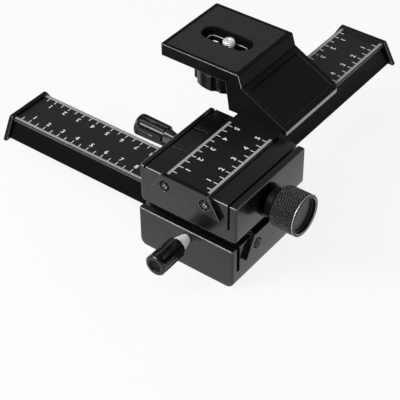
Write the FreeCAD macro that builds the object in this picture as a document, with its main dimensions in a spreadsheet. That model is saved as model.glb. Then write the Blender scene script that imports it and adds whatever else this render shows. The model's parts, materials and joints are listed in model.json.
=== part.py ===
import FreeCAD, Part
import math
import os
import Sketcher

# Macro focusing rail: two alike dovetail stages, stacked crosswise, with a camera bracket on the upper rail.
# Millimetres, +Z up. The origin is the middle of the lower block's underside.
# A stage's own floor is where its block would end without the lower block's extra depth.
# The lower rail runs along X, the upper rail along Y.
#
# Every stage piece is drawn in its stage's own frame: x along the rail, towards the end that the rail moves
# to, y across it, towards the drive knob, z up from the stage's floor. The clamp knob is on the -y side.

DRIVING_SIZES = (
    ("block_side", 57.5, "side of each square block"),
    ("block_height", 22, "height of each block"),
    ("base_depth", 2.4, "extra floor of the lower block"),
    ("base_belly", 4.5, "radius of the lower block's two lower edges across the rail"),
    ("upper_belly", 2.5, "radius of the upper block's two lower edges along the rail"),
    ("block_corner", 1.2, "radius of the block's upright corners"),
    ("stage_gap", 6, "free height between the two blocks"),
    ("stage_shift", 1.8, "offset of the upper block along the lower rail"),
    ("rail_length", 156, "length of each rail extrusion"),
    ("rail_top_width", 26.8, "width of the rail's top face"),
    ("rail_land", 1.8, "upright land below the rail's top edge"),
    ("rail_height", 10, "height of the rail section"),
    ("rail_stand", 1.2, "rail top above the block top"),
    ("flank_angle", 60, "dovetail flank from the horizontal, degrees"),
    ("slide_play", 0.1, "sideways and downward play of the rail in its groove"),
    ("groove_mouth", 0.6, "how far a block's jaws stand back beside the rail's land"),
    ("plate_thickness", 2.5, "end plate thickness"),
    ("plate_top_width", 27.8, "end plate width at its top"),
    ("plate_bottom_width", 41.3, "end plate width at its bottom"),
    ("plate_height", 12.2, "end plate height"),
    ("plate_lip", 1.2, "end plate top above the rail top"),
    ("plate_relief_width", 12.5, "width of the relief between the end plate's feet"),
    ("plate_relief_depth", 0.5, "depth of that relief"),
    ("plate_screw_spread", 23.6, "distance between an end plate's two screws"),
    ("plate_screw_drop", 5.2, "end plate screws below the rail top"),
    ("plate_screw_head", 2.5, "head radius of the end plate screws"),
    ("plate_seat_play", 0.6, "width of the ring around such a head, in its seat"),
    ("plate_screw_thread", 1.5, "thread radius of the end plate screws"),
    ("plate_screw_length", 8, "length of the end plate screws under the head"),
    ("lower_slit_width", 2.4, "width of the lower block's flexure slit"),
    ("upper_slit_width", 1.2, "width of the upper block's flexure slit"),
    ("slit_depth", 15, "depth of a block's flexure slit"),
    ("slit_offset", 24.2, "flexure slit from the block's middle"),
    ("jaw_groove_offset", 25.6, "upper block's jaw groove from the block's middle"),
    ("jaw_groove_width", 1, "width of the jaw groove"),
    ("jaw_groove_depth", 1.4, "depth of the jaw groove"),
    ("jaw_pocket_width", 9, "width of the shallow pocket in the jaw's top"),
    ("jaw_pocket_length", 18, "length of that pocket"),
    ("jaw_pocket_shift", -0.5, "pocket's middle from the block's middle, along the rail"),
    ("jaw_pocket_depth", 0.3, "depth of that pocket"),
    ("jaw_slot_width", 0.9, "width of the slots at the pocket's two ends"),
    ("jaw_slot_depth", 1.4, "depth of those slots"),
    ("tooth_module", 0.8, "rack and pinion module"),
    ("pinion_width", 8, "face width of the pinion and the rack"),
    ("pitch_rise", 2.6, "rack's pitch line above the rail's underside"),
    ("pinion_shift", 2.6, "pinion axis from the block's middle, along the rail"),
    ("backlash", 0.08, "tooth thinning on the pinion's pitch circle"),
    ("rack_back", 1.4, "rack thickness above the tooth roots"),
    ("channel_play", 0.5, "space beside the rack in the rail's channel"),
    ("shaft_radius", 2, "pinion shaft"),
    ("journal_radius", 1.5, "inner end journal of the pinion shaft"),
    ("journal_length", 4, "length of that journal"),
    ("running_play", 0.05, "radial play of a turning shaft"),
    ("bush_radius", 6.2, "drive bush barrel"),
    ("bush_length", 8, "drive bush barrel length"),
    ("bush_flange_radius", 8.5, "drive bush flange"),
    ("bush_flange_thickness", 2, "drive bush flange thickness"),
    ("drive_knob_radius", 10.9, "drive knob"),
    ("drive_knob_length", 14.5, "drive knob body length"),
    ("drive_knob_reach", 21.2, "drive knob's end from the block face"),
    ("drive_knob_dish_radius", 9.3, "recess in the drive knob's end"),
    ("drive_knob_dish_depth", 2.2, "depth of that recess"),
    ("dish_floor", 1.5, "material between a knob's dish and its bore"),
    ("drive_hub_radius", 7.5, "hub behind the drive knob"),
    ("drive_hub_gap", 0.2, "end play between the hub and the bush"),
    ("knob_bevel", 0.6, "edge bevel of the knobs"),
    ("grub_radius", 1.5, "set screw of the drive knob"),
    ("grub_length", 4.5, "length of that set screw"),
    ("grub_key_depth", 1, "depth of that set screw's key hole"),
    ("lock_rise", 3.3, "clamp axis above the rail's underside"),
    ("lower_lock_shift", 0.6, "lower clamp axis from the block's middle, along the rail"),
    ("upper_lock_shift", -1.8, "upper clamp axis from the block's middle, along the rail"),
    ("lock_stud_radius", 2.5, "clamp stud"),
    ("lock_shoulder_rear_radius", 2.8, "bright shoulder of the clamp stud, next to the block"),
    ("lock_shoulder_front_radius", 4.4, "bright shoulder of the clamp stud, next to its knob"),
    ("lock_shoulder_gap", 0.6, "that shoulder from the block face"),
    ("lock_knob_radius", 5.7, "clamp knob at its outer end"),
    ("lock_knob_rear_radius", 5.4, "clamp knob at its inner end"),
    ("lock_knob_length", 17.7, "clamp knob length"),
    ("lock_reach", 24.6, "clamp knob's end from the block face"),
    ("lock_flute_radius", 2.6, "cutter radius of the clamp knob's flutes"),
    ("lock_flute_depth", 1.1, "depth of the clamp knob's flutes"),
    ("lock_flute_stop", 3.4, "straight part of the flutes from the clamp knob's outer end"),
    ("lock_dish_radius", 3.4, "dish in the clamp knob's end"),
    ("lock_dish_depth", 0.8, "depth of that dish"),
    ("lock_pad_length", 3, "clamp pad length"),
    ("socket_shift", 14, "tripod socket from the block's middle, towards the long end of the rail"),
    ("socket_radius", 2.55, "tripod socket wall, the tapping size of a quarter-inch thread"),
    ("socket_depth", 8.5, "tripod socket depth"),
    ("insert_radius", 4.5, "tripod insert outside"),
    ("insert_roof", 1, "tripod insert's closed end"),
    ("spacer_length", 50, "stage spacer along the lower rail"),
    ("spacer_width", 22, "stage spacer across the lower rail"),
    ("stage_screw_spacing", 36, "stage screws along the lower rail"),
    ("stage_screw_spread", 17, "stage screws across the lower rail"),
    ("stage_screw_thread", 2, "thread radius of the stage screws"),
    ("stage_screw_head", 3.8, "head radius of the stage screws"),
    ("stage_screw_bite", 4, "length of a stage screw inside the upper block"),
    ("stage_screw_sunk", 0.3, "stage screws' heads inside the lower rail's underside"),
    ("bracket_near", 30.3, "bracket's near side from the lower block's middle"),
    ("bracket_width", 48, "bracket along the upper rail"),
    ("foot_outer_reach", 16.5, "bracket foot from the rail's middle, under the sloped panel"),
    ("foot_inner_reach", 18.7, "bracket foot from the rail's middle, under the platform"),
    ("foot_thickness", 3, "bracket foot"),
    ("foot_lip", 2, "upright edge at the foot of the sloped panel"),
    ("foot_skirt", 0.6, "how far that edge hangs beside the rail"),
    ("foot_notch", 2, "cut-back of the foot beside the camera screw's knob"),
    ("wall_lean", 2.4, "lean of the bracket's inner wall"),
    ("web_thickness", 3, "bracket's side webs"),
    ("panel_thickness", 3.5, "bracket's sloped panel"),
    ("panel_recess", 0.6, "depth of the panel's sunk field"),
    ("panel_border", 3, "border around that field"),
    ("platform_length", 48.4, "platform across the upper rail"),
    ("platform_thickness", 7, "platform"),
    ("platform_rise", 23.2, "platform top above the upper rail"),
    ("platform_edge", -11.4, "platform's edge over the rail, from the lower block's middle"),
    ("platform_lean", 2.2, "lean of the platform's edge over the rail"),
    ("platform_corner", 1.1, "radius of the platform's upright corners"),
    ("pad_inset", 2, "rubber pad from the platform's edge"),
    ("pad_sunk", 1, "pocket that holds the rubber pad"),
    ("slot_length", 30, "recess of the camera screw's slot, end to end"),
    ("slot_width", 12, "width of that recess"),
    ("slot_depth", 3.6, "depth of that recess"),
    ("slot_step_depth", 1.9, "narrow step in that recess, below the platform top"),
    ("slot_step_width", 0.5, "width of that step"),
    ("slot_neck_width", 5.6, "through slot"),
    ("slot_middle", 24.5, "slot's middle from the platform's outer edge"),
    ("camera_screw_shift", 1, "camera screw from the slot's middle"),
    ("camera_screw_radius", 3.175, "quarter-inch camera screw"),
    ("camera_screw_neck", 2.5, "camera screw's neck"),
    ("camera_screw_sunk", 0.8, "camera screw's tip below the platform top while it hangs"),
    ("camera_screw_head", 2.6, "length of the camera screw's threaded tip"),
    ("camera_knob_radius", 17.8, "camera screw's knob"),
    ("camera_knob_height", 9.6, "camera screw's knob height"),
    ("camera_knob_clearance", 0.8, "underside of that knob above the upper rail"),
    ("camera_knob_floor", 1.5, "closed bottom of that knob's bore"),
    ("camera_scallop_radius", 3, "cutter radius of that knob's scallops"),
    ("camera_scallop_depth", 1.6, "depth of those scallops"),
    ("washer_radius", 8, "washer on the camera screw's knob"),
    ("washer_thickness", 0.8, "thickness of that washer"),
    ("bracket_screw_spacing", 30, "bracket screws along the upper rail"),
    ("bracket_screw_spread", 18, "bracket screws across the upper rail"),
    ("bracket_screw_thread", 1.5, "thread radius of the bracket screws"),
    ("bracket_screw_head", 2.8, "head radius of the bracket screws"),
    ("bracket_screw_bite", 3.4, "length of a bracket screw inside the rail"),
    ("blind_spare", 0.4, "depth of a tapped hole past its screw's tip"),
    ("seat_play", 0.02, "fit of pieces that are fixed together"),
    ("screw_play", 0.2, "clearance of a screw in a through hole"),
)

PINION_TEETH = 12
LOCK_FLUTES = 6
LOCK_FLUTE_ANGLE = 46
CAMERA_SCALLOPS = 7
CAMERA_SCALLOP_ANGLE = 26
PRESSURE_ANGLE = 20
RACK_ADDENDUM = 0.6
PINION_ADDENDUM = 1.0
DEDENDUM = 1.25
FLANK_STEPS = 5
# A cross recess, as shares of its screw head's radius.
CROSS_ARM = 0.6
CROSS_HALF_WIDTH = 0.2
CROSS_DEPTH = 0.3

X_AXIS = FreeCAD.Vector(1, 0, 0)
Y_AXIS = FreeCAD.Vector(0, 1, 0)
Z_AXIS = FreeCAD.Vector(0, 0, 1)
NO_TURN = FreeCAD.Rotation()
ALONG_X = FreeCAD.Rotation(Z_AXIS, X_AXIS)
ALONG_Y = FreeCAD.Rotation(Z_AXIS, Y_AXIS)
AGAINST_X = FreeCAD.Rotation(Z_AXIS, -X_AXIS)
AGAINST_Y = FreeCAD.Rotation(Z_AXIS, -Y_AXIS)

doc = FreeCAD.newDocument("macro_focusing_rail")
sheet = doc.addObject("Spreadsheet::Sheet", "sizes")


class Size:
    """A number together with the sheet formula that gives it."""

    def __init__(self, number, formula):
        self.number = number
        self.formula = formula

    def __add__(self, other):
        other = as_size(other)
        return Size(self.number + other.number, f"({self.formula} + {other.formula})")

    def __radd__(self, other):
        return as_size(other) + self

    def __sub__(self, other):
        other = as_size(other)
        return Size(self.number - other.number, f"({self.formula} - {other.formula})")

    def __rsub__(self, other):
        return as_size(other) - self

    def __mul__(self, other):
        other = as_size(other)
        return Size(self.number * other.number, f"({self.formula} * {other.formula})")

    def __rmul__(self, other):
        return as_size(other) * self

    def __truediv__(self, other):
        other = as_size(other)
        return Size(self.number / other.number, f"({self.formula} / {other.formula})")

    def __neg__(self):
        return Size(-self.number, f"(0 - {self.formula})")


def as_size(value):
    if isinstance(value, Size):
        return value
    return Size(float(value), f"({value})")


def tangent(angle):
    return Size(math.tan(math.radians(angle.number)), f"tan({angle.formula})")


def cosine(angle):
    angle = as_size(angle)
    return Size(math.cos(math.radians(angle.number)), f"cos({angle.formula})")


def sine(angle):
    angle = as_size(angle)
    return Size(math.sin(math.radians(angle.number)), f"sin({angle.formula})")


def square_root(value):
    return Size(math.sqrt(value.number), f"sqrt({value.formula})")


def fill_sheet():
    sizes = {}
    for row, (alias, value, meaning) in enumerate(DRIVING_SIZES, start=1):
        sheet.set(f"A{row}", meaning)
        sheet.set(f"B{row}", str(value))
        sheet.setAlias(f"B{row}", alias)
        sizes[alias] = Size(float(value), f"sizes.{alias}")
    doc.recompute()
    return sizes


class Sizes:
    """Reads like size.rail_length and gives the Size of that cell."""

    def __init__(self, cells):
        self.__dict__.update(cells)


size = Sizes(fill_sheet())

# Sizes that follow from the driving ones.
block_half = size.block_side / 2
lower_floor = size.base_depth
upper_floor = lower_floor + size.block_height + size.stage_gap
rail_top = size.block_height + size.rail_stand
rail_bottom = rail_top - size.rail_height
rail_half = size.rail_top_width / 2
flank_top = rail_top - size.rail_land
rail_flank_run = (size.rail_height - size.rail_land) / tangent(size.flank_angle)
rail_bottom_half = rail_half + rail_flank_run
groove_floor = rail_bottom - size.slide_play
groove_top_half = rail_half + size.slide_play
groove_bottom_half = groove_top_half + (flank_top - groove_floor) / tangent(size.flank_angle)
rail_end = block_half
rail_start = rail_end - size.rail_length
plate_start = rail_start - size.plate_thickness
plate_end = rail_end + size.plate_thickness
pitch_radius = size.tooth_module * PINION_TEETH / 2
pitch_line = rail_bottom + size.pitch_rise
pinion_height = pitch_line - pitch_radius
lock_height = rail_bottom + size.lock_rise
rack_tip = pitch_line - size.tooth_module * RACK_ADDENDUM
rack_root = pitch_line + size.tooth_module * DEDENDUM
rack_top = rack_root + size.rack_back
pinion_tip = pitch_radius + size.tooth_module * PINION_ADDENDUM
pinion_half = size.pinion_width / 2
knob_front = block_half + size.drive_knob_reach
knob_rear = knob_front - size.drive_knob_length
hub_start = block_half + size.bush_flange_thickness + size.drive_hub_gap
rack_channel_half = pinion_half + size.channel_play
lower_rail_top = lower_floor + rail_top
lower_rail_bottom = lower_floor + rail_bottom


class Stage:
    """Where a stage's own frame lies in the part's frame."""

    def __init__(self, name, quarter_turn, origin_x, origin_z, lock_shift):
        self.name = name
        self.quarter_turn = quarter_turn
        self.origin_x = origin_x
        self.origin_z = origin_z
        self.lock_shift = lock_shift
        degrees = -90 if quarter_turn else 0
        self.rotation = FreeCAD.Rotation(Z_AXIS, degrees)

    def point(self, x, y, z):
        z = as_size(z) + self.origin_z
        if self.quarter_turn:
            return (as_size(y) + self.origin_x, -as_size(x), z)
        return (as_size(x) + self.origin_x, as_size(y), z)

    def seat(self, piece, x=0, y=0, z=0, turn=NO_TURN):
        place(piece, self.point(x, y, z), self.rotation.multiply(turn))
        return piece

    def node(self, name):
        return f"{self.name}_{name}"


def bind(piece, prop, value):
    piece.setExpression(prop, as_size(value).formula)


def place(piece, point, turn=NO_TURN):
    piece.Placement = FreeCAD.Placement(FreeCAD.Vector(*(as_size(c).number for c in point)), turn)
    for axis, coordinate in zip("xyz", point):
        bind(piece, f"Placement.Base.{axis}", coordinate)


def box(name, low, extent):
    """A block from its lowest corner and its extents."""
    piece = doc.addObject("Part::Box", name)
    for prop, value in zip(("Length", "Width", "Height"), extent):
        bind(piece, prop, value)
    place(piece, low)
    return piece


def rod(name, radius, length, start, turn=NO_TURN):
    """A cylinder that starts at a point and runs along its turned Z axis."""
    piece = doc.addObject("Part::Cylinder", name)
    bind(piece, "Radius", radius)
    bind(piece, "Height", length)
    place(piece, start, turn)
    return piece


def ball(name, radius, middle):
    piece = doc.addObject("Part::Sphere", name)
    bind(piece, "Radius", radius)
    place(piece, middle)
    return piece


def rods(name, radius, length, points):
    """Upright cylinders, one from each point."""
    return [rod(f"{name}_{index}", radius, length, point) for index, point in enumerate(points, start=1)]


def fuse(name, pieces):
    union = doc.addObject("Part::MultiFuse", name)
    union.Shapes = pieces
    union.Refine = True
    return union


def cut(name, base, tools):
    """The base less all the tools; stops if they take nothing away."""
    difference = doc.addObject("Part::Cut", name)
    difference.Base = base
    difference.Tool = tools[0] if len(tools) == 1 else fuse(f"{name}_tools", tools)
    difference.Refine = True
    doc.recompute()
    if difference.Shape.Volume >= base.Shape.Volume:
        raise RuntimeError(f"{name}: the cut takes nothing away")
    return difference


def outline(body, name, plane_role, corners):
    """A closed sketch of straight sides; each corner is held to the origin by two driven distances."""
    sketch = body.newObject("Sketcher::SketchObject", name)
    plane = next(f for f in body.Origin.OriginFeatures if f.Role == plane_role)
    sketch.AttachmentSupport = [(plane, "")]
    sketch.MapMode = "FlatFace"
    corners = [(as_size(u), as_size(v)) for u, v in corners]
    count = len(corners)
    for index, (u, v) in enumerate(corners):
        next_u, next_v = corners[(index + 1) % count]
        start = FreeCAD.Vector(u.number, v.number, 0)
        end = FreeCAD.Vector(next_u.number, next_v.number, 0)
        sketch.addGeometry(Part.LineSegment(start, end), False)
    for index in range(count):
        sketch.addConstraint(Sketcher.Constraint("Coincident", index, 2, (index + 1) % count, 1))
    for index, corner in enumerate(corners):
        for kind, axis, distance in zip(("DistanceX", "DistanceY"), (-2, -1), corner):
            if distance.number == 0:
                sketch.addConstraint(Sketcher.Constraint("PointOnObject", index, 1, axis))
                continue
            held = sketch.addConstraint(Sketcher.Constraint(kind, -1, 1, index, 1, distance.number))
            sketch.setExpression(f"Constraints[{held}]", distance.formula)
    sketch.Visibility = False
    return sketch


def prism(name, corners, length):
    """A section drawn across the rail, y to the right and z up, drawn out along x by a length."""
    body = doc.addObject("PartDesign::Body", name)
    section = outline(body, f"{name}_section", "YZ_Plane", corners)
    pad = body.newObject("PartDesign::Pad", f"{name}_length")
    pad.Profile = section
    bind(pad, "Length", length)
    return body


def turned(name, corners):
    """A turned piece: corners are radius and height, and the axis is Z."""
    body = doc.addObject("PartDesign::Body", name)
    section = outline(body, f"{name}_section", "XZ_Plane", corners)
    turn = body.newObject("PartDesign::Revolution", f"{name}_turn")
    turn.Profile = section
    turn.ReferenceAxis = (section, ["V_Axis"])
    turn.Angle = 360
    return body


def round_edges(body, name, radius, wanted):
    """Rounds the edges of a body's tip that pass a test on their middle and direction."""
    doc.recompute()
    tip = body.Tip
    edges = []
    for index, edge in enumerate(tip.Shape.Edges, start=1):
        if edge.Curve.TypeId != "Part::GeomLine":
            continue
        if wanted(edge.CenterOfMass, edge.Curve.Direction):
            edges.append(f"Edge{index}")
    if not edges:
        raise RuntimeError(f"{name}: no edge to round")
    fillet = body.newObject("PartDesign::Fillet", name)
    fillet.Base = (tip, edges)
    bind(fillet, "Radius", radius)
    return fillet


def near(one, other):
    return abs(one - other) < 0.01


def grouped(name, pieces):
    """Separate solids held as one sub-part."""
    group = doc.addObject("Part::Compound", name)
    group.Links = pieces
    return group


def copies(name, piece_of_kind, points, turn=NO_TURN):
    """One sub-part of separate solids of one kind, one at each point."""
    pieces = []
    for index, point in enumerate(points, start=1):
        piece = piece_of_kind(f"{name}_{index}")
        place(piece, point, turn)
        pieces.append(piece)
    return grouped(name, pieces)


def four_points(middle_x, middle_y, half_x, half_y, height):
    """The corners of a rectangle at one height."""
    points = []
    for x_sign in (-1, 1):
        for y_sign in (-1, 1):
            points.append((middle_x + half_x * x_sign, middle_y + half_y * y_sign, height))
    return points


# ---------------------------------------------------------------- stage pieces


def block_section(slit_side, slit_width, underside):
    """End view of a block: dovetail groove, and the flexure slit on one side of it."""
    slit_near = size.slit_offset - slit_width / 2
    slit_far = size.slit_offset + slit_width / 2
    mouth = groove_top_half + size.groove_mouth
    slit_floor = size.block_height - size.slit_depth
    top = size.block_height
    groove = [
        (mouth, top),
        (mouth, flank_top),
        (groove_top_half, flank_top),
        (groove_bottom_half, groove_floor),
        (-groove_bottom_half, groove_floor),
        (-groove_top_half, flank_top),
        (-mouth, flank_top),
        (-mouth, top),
    ]
    slit = [(slit_far, top), (slit_far, slit_floor), (slit_near, slit_floor), (slit_near, top)]
    right = slit if slit_side > 0 else []
    left = [(-y, z) for y, z in reversed(slit)] if slit_side < 0 else []
    foot = [(-block_half, underside), (block_half, underside), (block_half, top)]
    return foot + right + groove + left + [(-block_half, top)]


def block(stage, slit_side, slit_width, underside, belly, belly_along_rail, cuts):
    """A block; its two rounded lower edges lie along the rail or across it."""
    name = stage.node("block")
    body = prism(f"{name}_body", block_section(slit_side, slit_width, underside), size.block_side)
    half = block_half.number
    bottom = underside.number

    def belly_edge(middle, direction):
        run = direction.x if belly_along_rail else direction.y
        return near(abs(run), 1) and near(middle.z, bottom)

    def upright_corner(middle, direction):
        return near(abs(direction.z), 1) and near(abs(middle.y), half)

    round_edges(body, f"{name}_belly", belly, belly_edge)
    # These run on round the belly and along the block's other two lower edges.
    round_edges(body, f"{name}_corners", size.block_corner, upright_corner)
    place(body, (-block_half, 0, 0))
    return stage.seat(cut(name, body, block_cuts(stage) + cuts))


def block_cuts(stage):
    """The pinion's channel, the bush seat, the shaft's far bearing and the clamp's bore."""
    channel_half = size.bush_radius + size.seat_play
    bush_start = block_half - size.bush_length
    reach = pinion_half + size.channel_play
    channel_floor = pinion_height - channel_half
    channel = box(
        stage.node("pinion_channel"),
        (size.pinion_shift - channel_half, -reach, channel_floor),
        (channel_half * 2, bush_start + reach, rail_bottom - channel_floor),
    )
    seat = rod(
        stage.node("bush_seat"),
        size.bush_radius + size.seat_play,
        size.bush_length + 1,
        (size.pinion_shift, bush_start, pinion_height),
        ALONG_Y,
    )
    bearing = rod(
        stage.node("far_bearing"),
        size.journal_radius + size.running_play,
        size.journal_length + 1,
        (size.pinion_shift, -reach, pinion_height),
        AGAINST_Y,
    )
    clamp = rod(
        stage.node("clamp_bore"),
        size.lock_stud_radius + size.running_play,
        block_half,
        (stage.lock_shift, -block_half - 1, lock_height),
        ALONG_Y,
    )
    return [channel, seat, bearing, clamp]


def rail_section():
    """End view of a rail: land, dovetail flanks and the channel that holds the rack."""
    land_bottom = rail_top - size.rail_land
    return [
        (-rail_half, rail_top),
        (-rail_half, land_bottom),
        (-rail_bottom_half, rail_bottom),
        (-rack_channel_half, rail_bottom),
        (-rack_channel_half, rack_root),
        (-pinion_half, rack_root),
        (-pinion_half, rack_top),
        (pinion_half, rack_top),
        (pinion_half, rack_root),
        (rack_channel_half, rack_root),
        (rack_channel_half, rail_bottom),
        (rail_bottom_half, rail_bottom),
        (rail_half, land_bottom),
        (rail_half, rail_top),
    ]


def rail(stage, screw_holes):
    name = stage.node("rail")
    body = prism(f"{name}_body", rail_section(), size.rail_length)
    place(body, (rail_start, 0, 0))
    return stage.seat(cut(name, body, plate_screw_holes(stage) + screw_holes))


def plate_screw_points(x):
    side = size.plate_screw_spread / 2
    height = rail_top - size.plate_screw_drop
    return [(x, side, height), (x, -side, height)]


def plate_screw_holes(stage):
    depth = size.plate_screw_length + 1
    holes = []
    for end, x, turn in (("start", rail_start, ALONG_X), ("end", rail_end, AGAINST_X)):
        for index, point in enumerate(plate_screw_points(x), start=1):
            hole_name = f"{stage.node('rail')}_{end}_hole_{index}"
            holes.append(rod(hole_name, size.plate_screw_thread + size.seat_play, depth, point, turn))
    return holes


def rack(stage):
    """A toothed bar on its own flank; its teeth point down to the pinion."""
    name = stage.node("rack")
    bar = box(
        f"{name}_bar",
        (rail_start, -pinion_half, rack_tip),
        (size.rail_length, size.pinion_width, rack_top - rack_tip),
    )
    module = size.tooth_module.number
    pitch = math.pi * module
    lean = math.tan(math.radians(PRESSURE_ANGLE))
    tip = rack_tip.number
    root = rack_root.number
    line = pitch_line.number
    half_space = pitch / 4
    gaps = []
    first = math.ceil((rail_start.number - size.pinion_shift.number) / pitch - 1)
    last = math.floor((rail_end.number - size.pinion_shift.number) / pitch + 1)
    for index in range(first, last + 1):
        middle = size.pinion_shift.number + (index + 0.5) * pitch
        mouth = tip - module / 2
        low = half_space + (line - mouth) * lean
        high = half_space - (root - line) * lean
        corners = [(middle - low, mouth), (middle - high, root), (middle + high, root), (middle + low, mouth)]
        points = [FreeCAD.Vector(x, -pinion_half.number - 1, z) for x, z in corners]
        face = Part.Face(Part.makePolygon(points + points[:1]))
        gaps.append(face.extrude(FreeCAD.Vector(0, size.pinion_width.number + 2, 0)))
    spaces = doc.addObject("Part::Feature", f"{name}_spaces")
    spaces.Shape = Part.makeCompound(gaps)
    return stage.seat(cut(name, bar, [spaces]))


def end_plate(stage, end_name, start, outer_x, screw_turn):
    """A trapezoid with two feet; the screws' heads sit in it, flush with its outer face."""
    name = stage.node(end_name)
    top = rail_top + size.plate_lip
    bottom = top - size.plate_height
    top_half = size.plate_top_width / 2
    bottom_half = size.plate_bottom_width / 2
    relief_half = size.plate_relief_width / 2
    relief_top = bottom + size.plate_relief_depth
    corners = [
        (-top_half, top),
        (-bottom_half, bottom),
        (-relief_half, bottom),
        (-relief_half, relief_top),
        (relief_half, relief_top),
        (relief_half, bottom),
        (bottom_half, bottom),
        (top_half, top),
    ]
    body = prism(f"{name}_body", corners, size.plate_thickness)
    place(body, (start, 0, 0))
    hole = size.plate_screw_thread + size.screw_play
    seat = size.plate_screw_head + size.plate_seat_play
    tools = []
    for index, point in enumerate(plate_screw_points(outer_x), start=1):
        tools.append(rod(f"{name}_hole_{index}", hole, size.plate_thickness, point, screw_turn))
        tools.append(rod(f"{name}_seat_{index}", seat, size.plate_thickness / 2, point, screw_turn))
    return stage.seat(cut(name, body, tools))


def plate_screw(name):
    """Cheese-head screw with a cross recess; its head's face is at the local origin, thread along +Z."""
    head = size.plate_thickness / 2
    corners = [
        (0, 0),
        (size.plate_screw_head, 0),
        (size.plate_screw_head, head),
        (size.plate_screw_thread, head),
        (size.plate_screw_thread, size.plate_screw_length),
        (0, size.plate_screw_length),
    ]
    return cross_cut(name, turned(f"{name}_body", corners), size.plate_screw_head)


def cross_cut(name, body, head_radius):
    """A cross recess in the head of a screw that points along +Z."""
    arm = head_radius * CROSS_ARM
    half_width = head_radius * CROSS_HALF_WIDTH
    depth = head_radius * CROSS_DEPTH
    long_x = box(f"{name}_cross_x", (-arm, -half_width, -1), (arm * 2, half_width * 2, depth + 1))
    long_y = box(f"{name}_cross_y", (-half_width, -arm, -1), (half_width * 2, arm * 2, depth + 1))
    return cut(name, body, [long_x, long_y])


def plate_screws(stage):
    """Two screws in each end plate of one rail."""
    name = stage.node("plate_screws")
    screws = []
    for end, outer_x, turn in (("start", plate_start, ALONG_X), ("end", plate_end, AGAINST_X)):
        for index, point in enumerate(plate_screw_points(outer_x), start=1):
            screw = plate_screw(f"{name}_{end}_{index}")
            screws.append(stage.seat(screw, *point, turn))
    return grouped(name, screws)


def involute_point(base_radius, radius, start_angle):
    """A point on an involute, at a radius, for an involute that leaves the base circle at an angle."""
    roll = math.sqrt(max((radius / base_radius) ** 2 - 1, 0))
    angle = start_angle + roll - math.atan(roll)
    return FreeCAD.Vector(radius * math.cos(angle), radius * math.sin(angle), 0)


def pinion_shape():
    """Involute pinion with its axis on Z and a tooth space over the +Y direction."""
    module = size.tooth_module.number
    pitch = pitch_radius.number
    base = pitch * math.cos(math.radians(PRESSURE_ANGLE))
    tip = pinion_tip.number
    root = pitch - module * DEDENDUM
    involute = math.tan(math.radians(PRESSURE_ANGLE)) - math.radians(PRESSURE_ANGLE)
    half_tooth = math.pi / (2 * PINION_TEETH) - size.backlash.number / (2 * pitch)
    flank_start = -(half_tooth + involute)
    edges = []
    for index in range(PINION_TEETH):
        middle = math.pi / 2 + math.pi / PINION_TEETH + index * 2 * math.pi / PINION_TEETH
        turn = FreeCAD.Rotation(Z_AXIS, math.degrees(middle))
        radii = [base + (tip - base) * step / FLANK_STEPS for step in range(FLANK_STEPS + 1)]
        rising = [involute_point(base, radius, flank_start) for radius in radii]
        falling = [FreeCAD.Vector(p.x, -p.y, 0) for p in reversed(rising)]
        foot = FreeCAD.Vector(root * math.cos(flank_start), root * math.sin(flank_start), 0)
        far_foot = FreeCAD.Vector(foot.x, -foot.y, 0)
        next_foot = FreeCAD.Rotation(Z_AXIS, 360 / PINION_TEETH).multVec(foot)
        half_pitch = math.pi / PINION_TEETH
        space_middle = FreeCAD.Vector(root * math.cos(half_pitch), root * math.sin(half_pitch), 0)
        tooth = [
            Part.LineSegment(foot, rising[0]).toShape(),
            flank_curve(rising),
            Part.Arc(rising[-1], FreeCAD.Vector(tip, 0, 0), falling[0]).toShape(),
            flank_curve(falling),
            Part.LineSegment(falling[-1], far_foot).toShape(),
            Part.Arc(far_foot, space_middle, next_foot).toShape(),
        ]
        for edge in tooth:
            edge.Placement = FreeCAD.Placement(FreeCAD.Vector(), turn)
            edges.append(edge)
    wire = Part.Wire(Part.__sortEdges__(edges))
    return Part.Face(wire).extrude(FreeCAD.Vector(0, 0, size.pinion_width.number))


def flank_curve(points):
    curve = Part.BSplineCurve()
    curve.interpolate(points)
    return curve.toShape()


def pinion_shaft(stage):
    """Turned shaft along its own Z, with the pinion cut in one piece with it."""
    name = stage.node("pinion_shaft")
    teeth = doc.addObject("Part::Feature", f"{name}_teeth")
    teeth.Shape = pinion_shape()
    teeth.Placement = FreeCAD.Placement(FreeCAD.Vector(0, 0, -pinion_half.number), NO_TURN)
    knob_floor = knob_front - size.drive_knob_dish_depth - size.dish_floor
    far_end = pinion_half + size.channel_play + size.journal_length
    corners = [
        (0, -far_end),
        (size.journal_radius, -far_end),
        (size.journal_radius, -pinion_half),
        (size.shaft_radius, -pinion_half),
        (size.shaft_radius, knob_floor),
        (0, knob_floor),
    ]
    stem = turned(f"{name}_stem", corners)
    shaft = fuse(name, [stem, teeth])
    # The shaft's Z becomes the stage's y, and the tooth space over its +Y turns up to the rack.
    turn = FreeCAD.Rotation(X_AXIS, -90)
    flip = FreeCAD.Rotation(Z_AXIS, 180)
    return stage.seat(shaft, size.pinion_shift, 0, pinion_height, turn.multiply(flip))


def drive_bush(stage):
    """Flanged bush in the block's wall; it can be drawn out over the pinion."""
    name = stage.node("drive_bush")
    flange_end = size.bush_length + size.bush_flange_thickness
    bore = size.shaft_radius + size.running_play
    corners = [
        (bore, 0),
        (size.bush_radius, 0),
        (size.bush_radius, size.bush_length),
        (size.bush_flange_radius, size.bush_length),
        (size.bush_flange_radius, flange_end),
        (bore, flange_end),
    ]
    bush = turned(name, corners)
    return stage.seat(bush, size.pinion_shift, block_half - size.bush_length, pinion_height, ALONG_Y)


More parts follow.
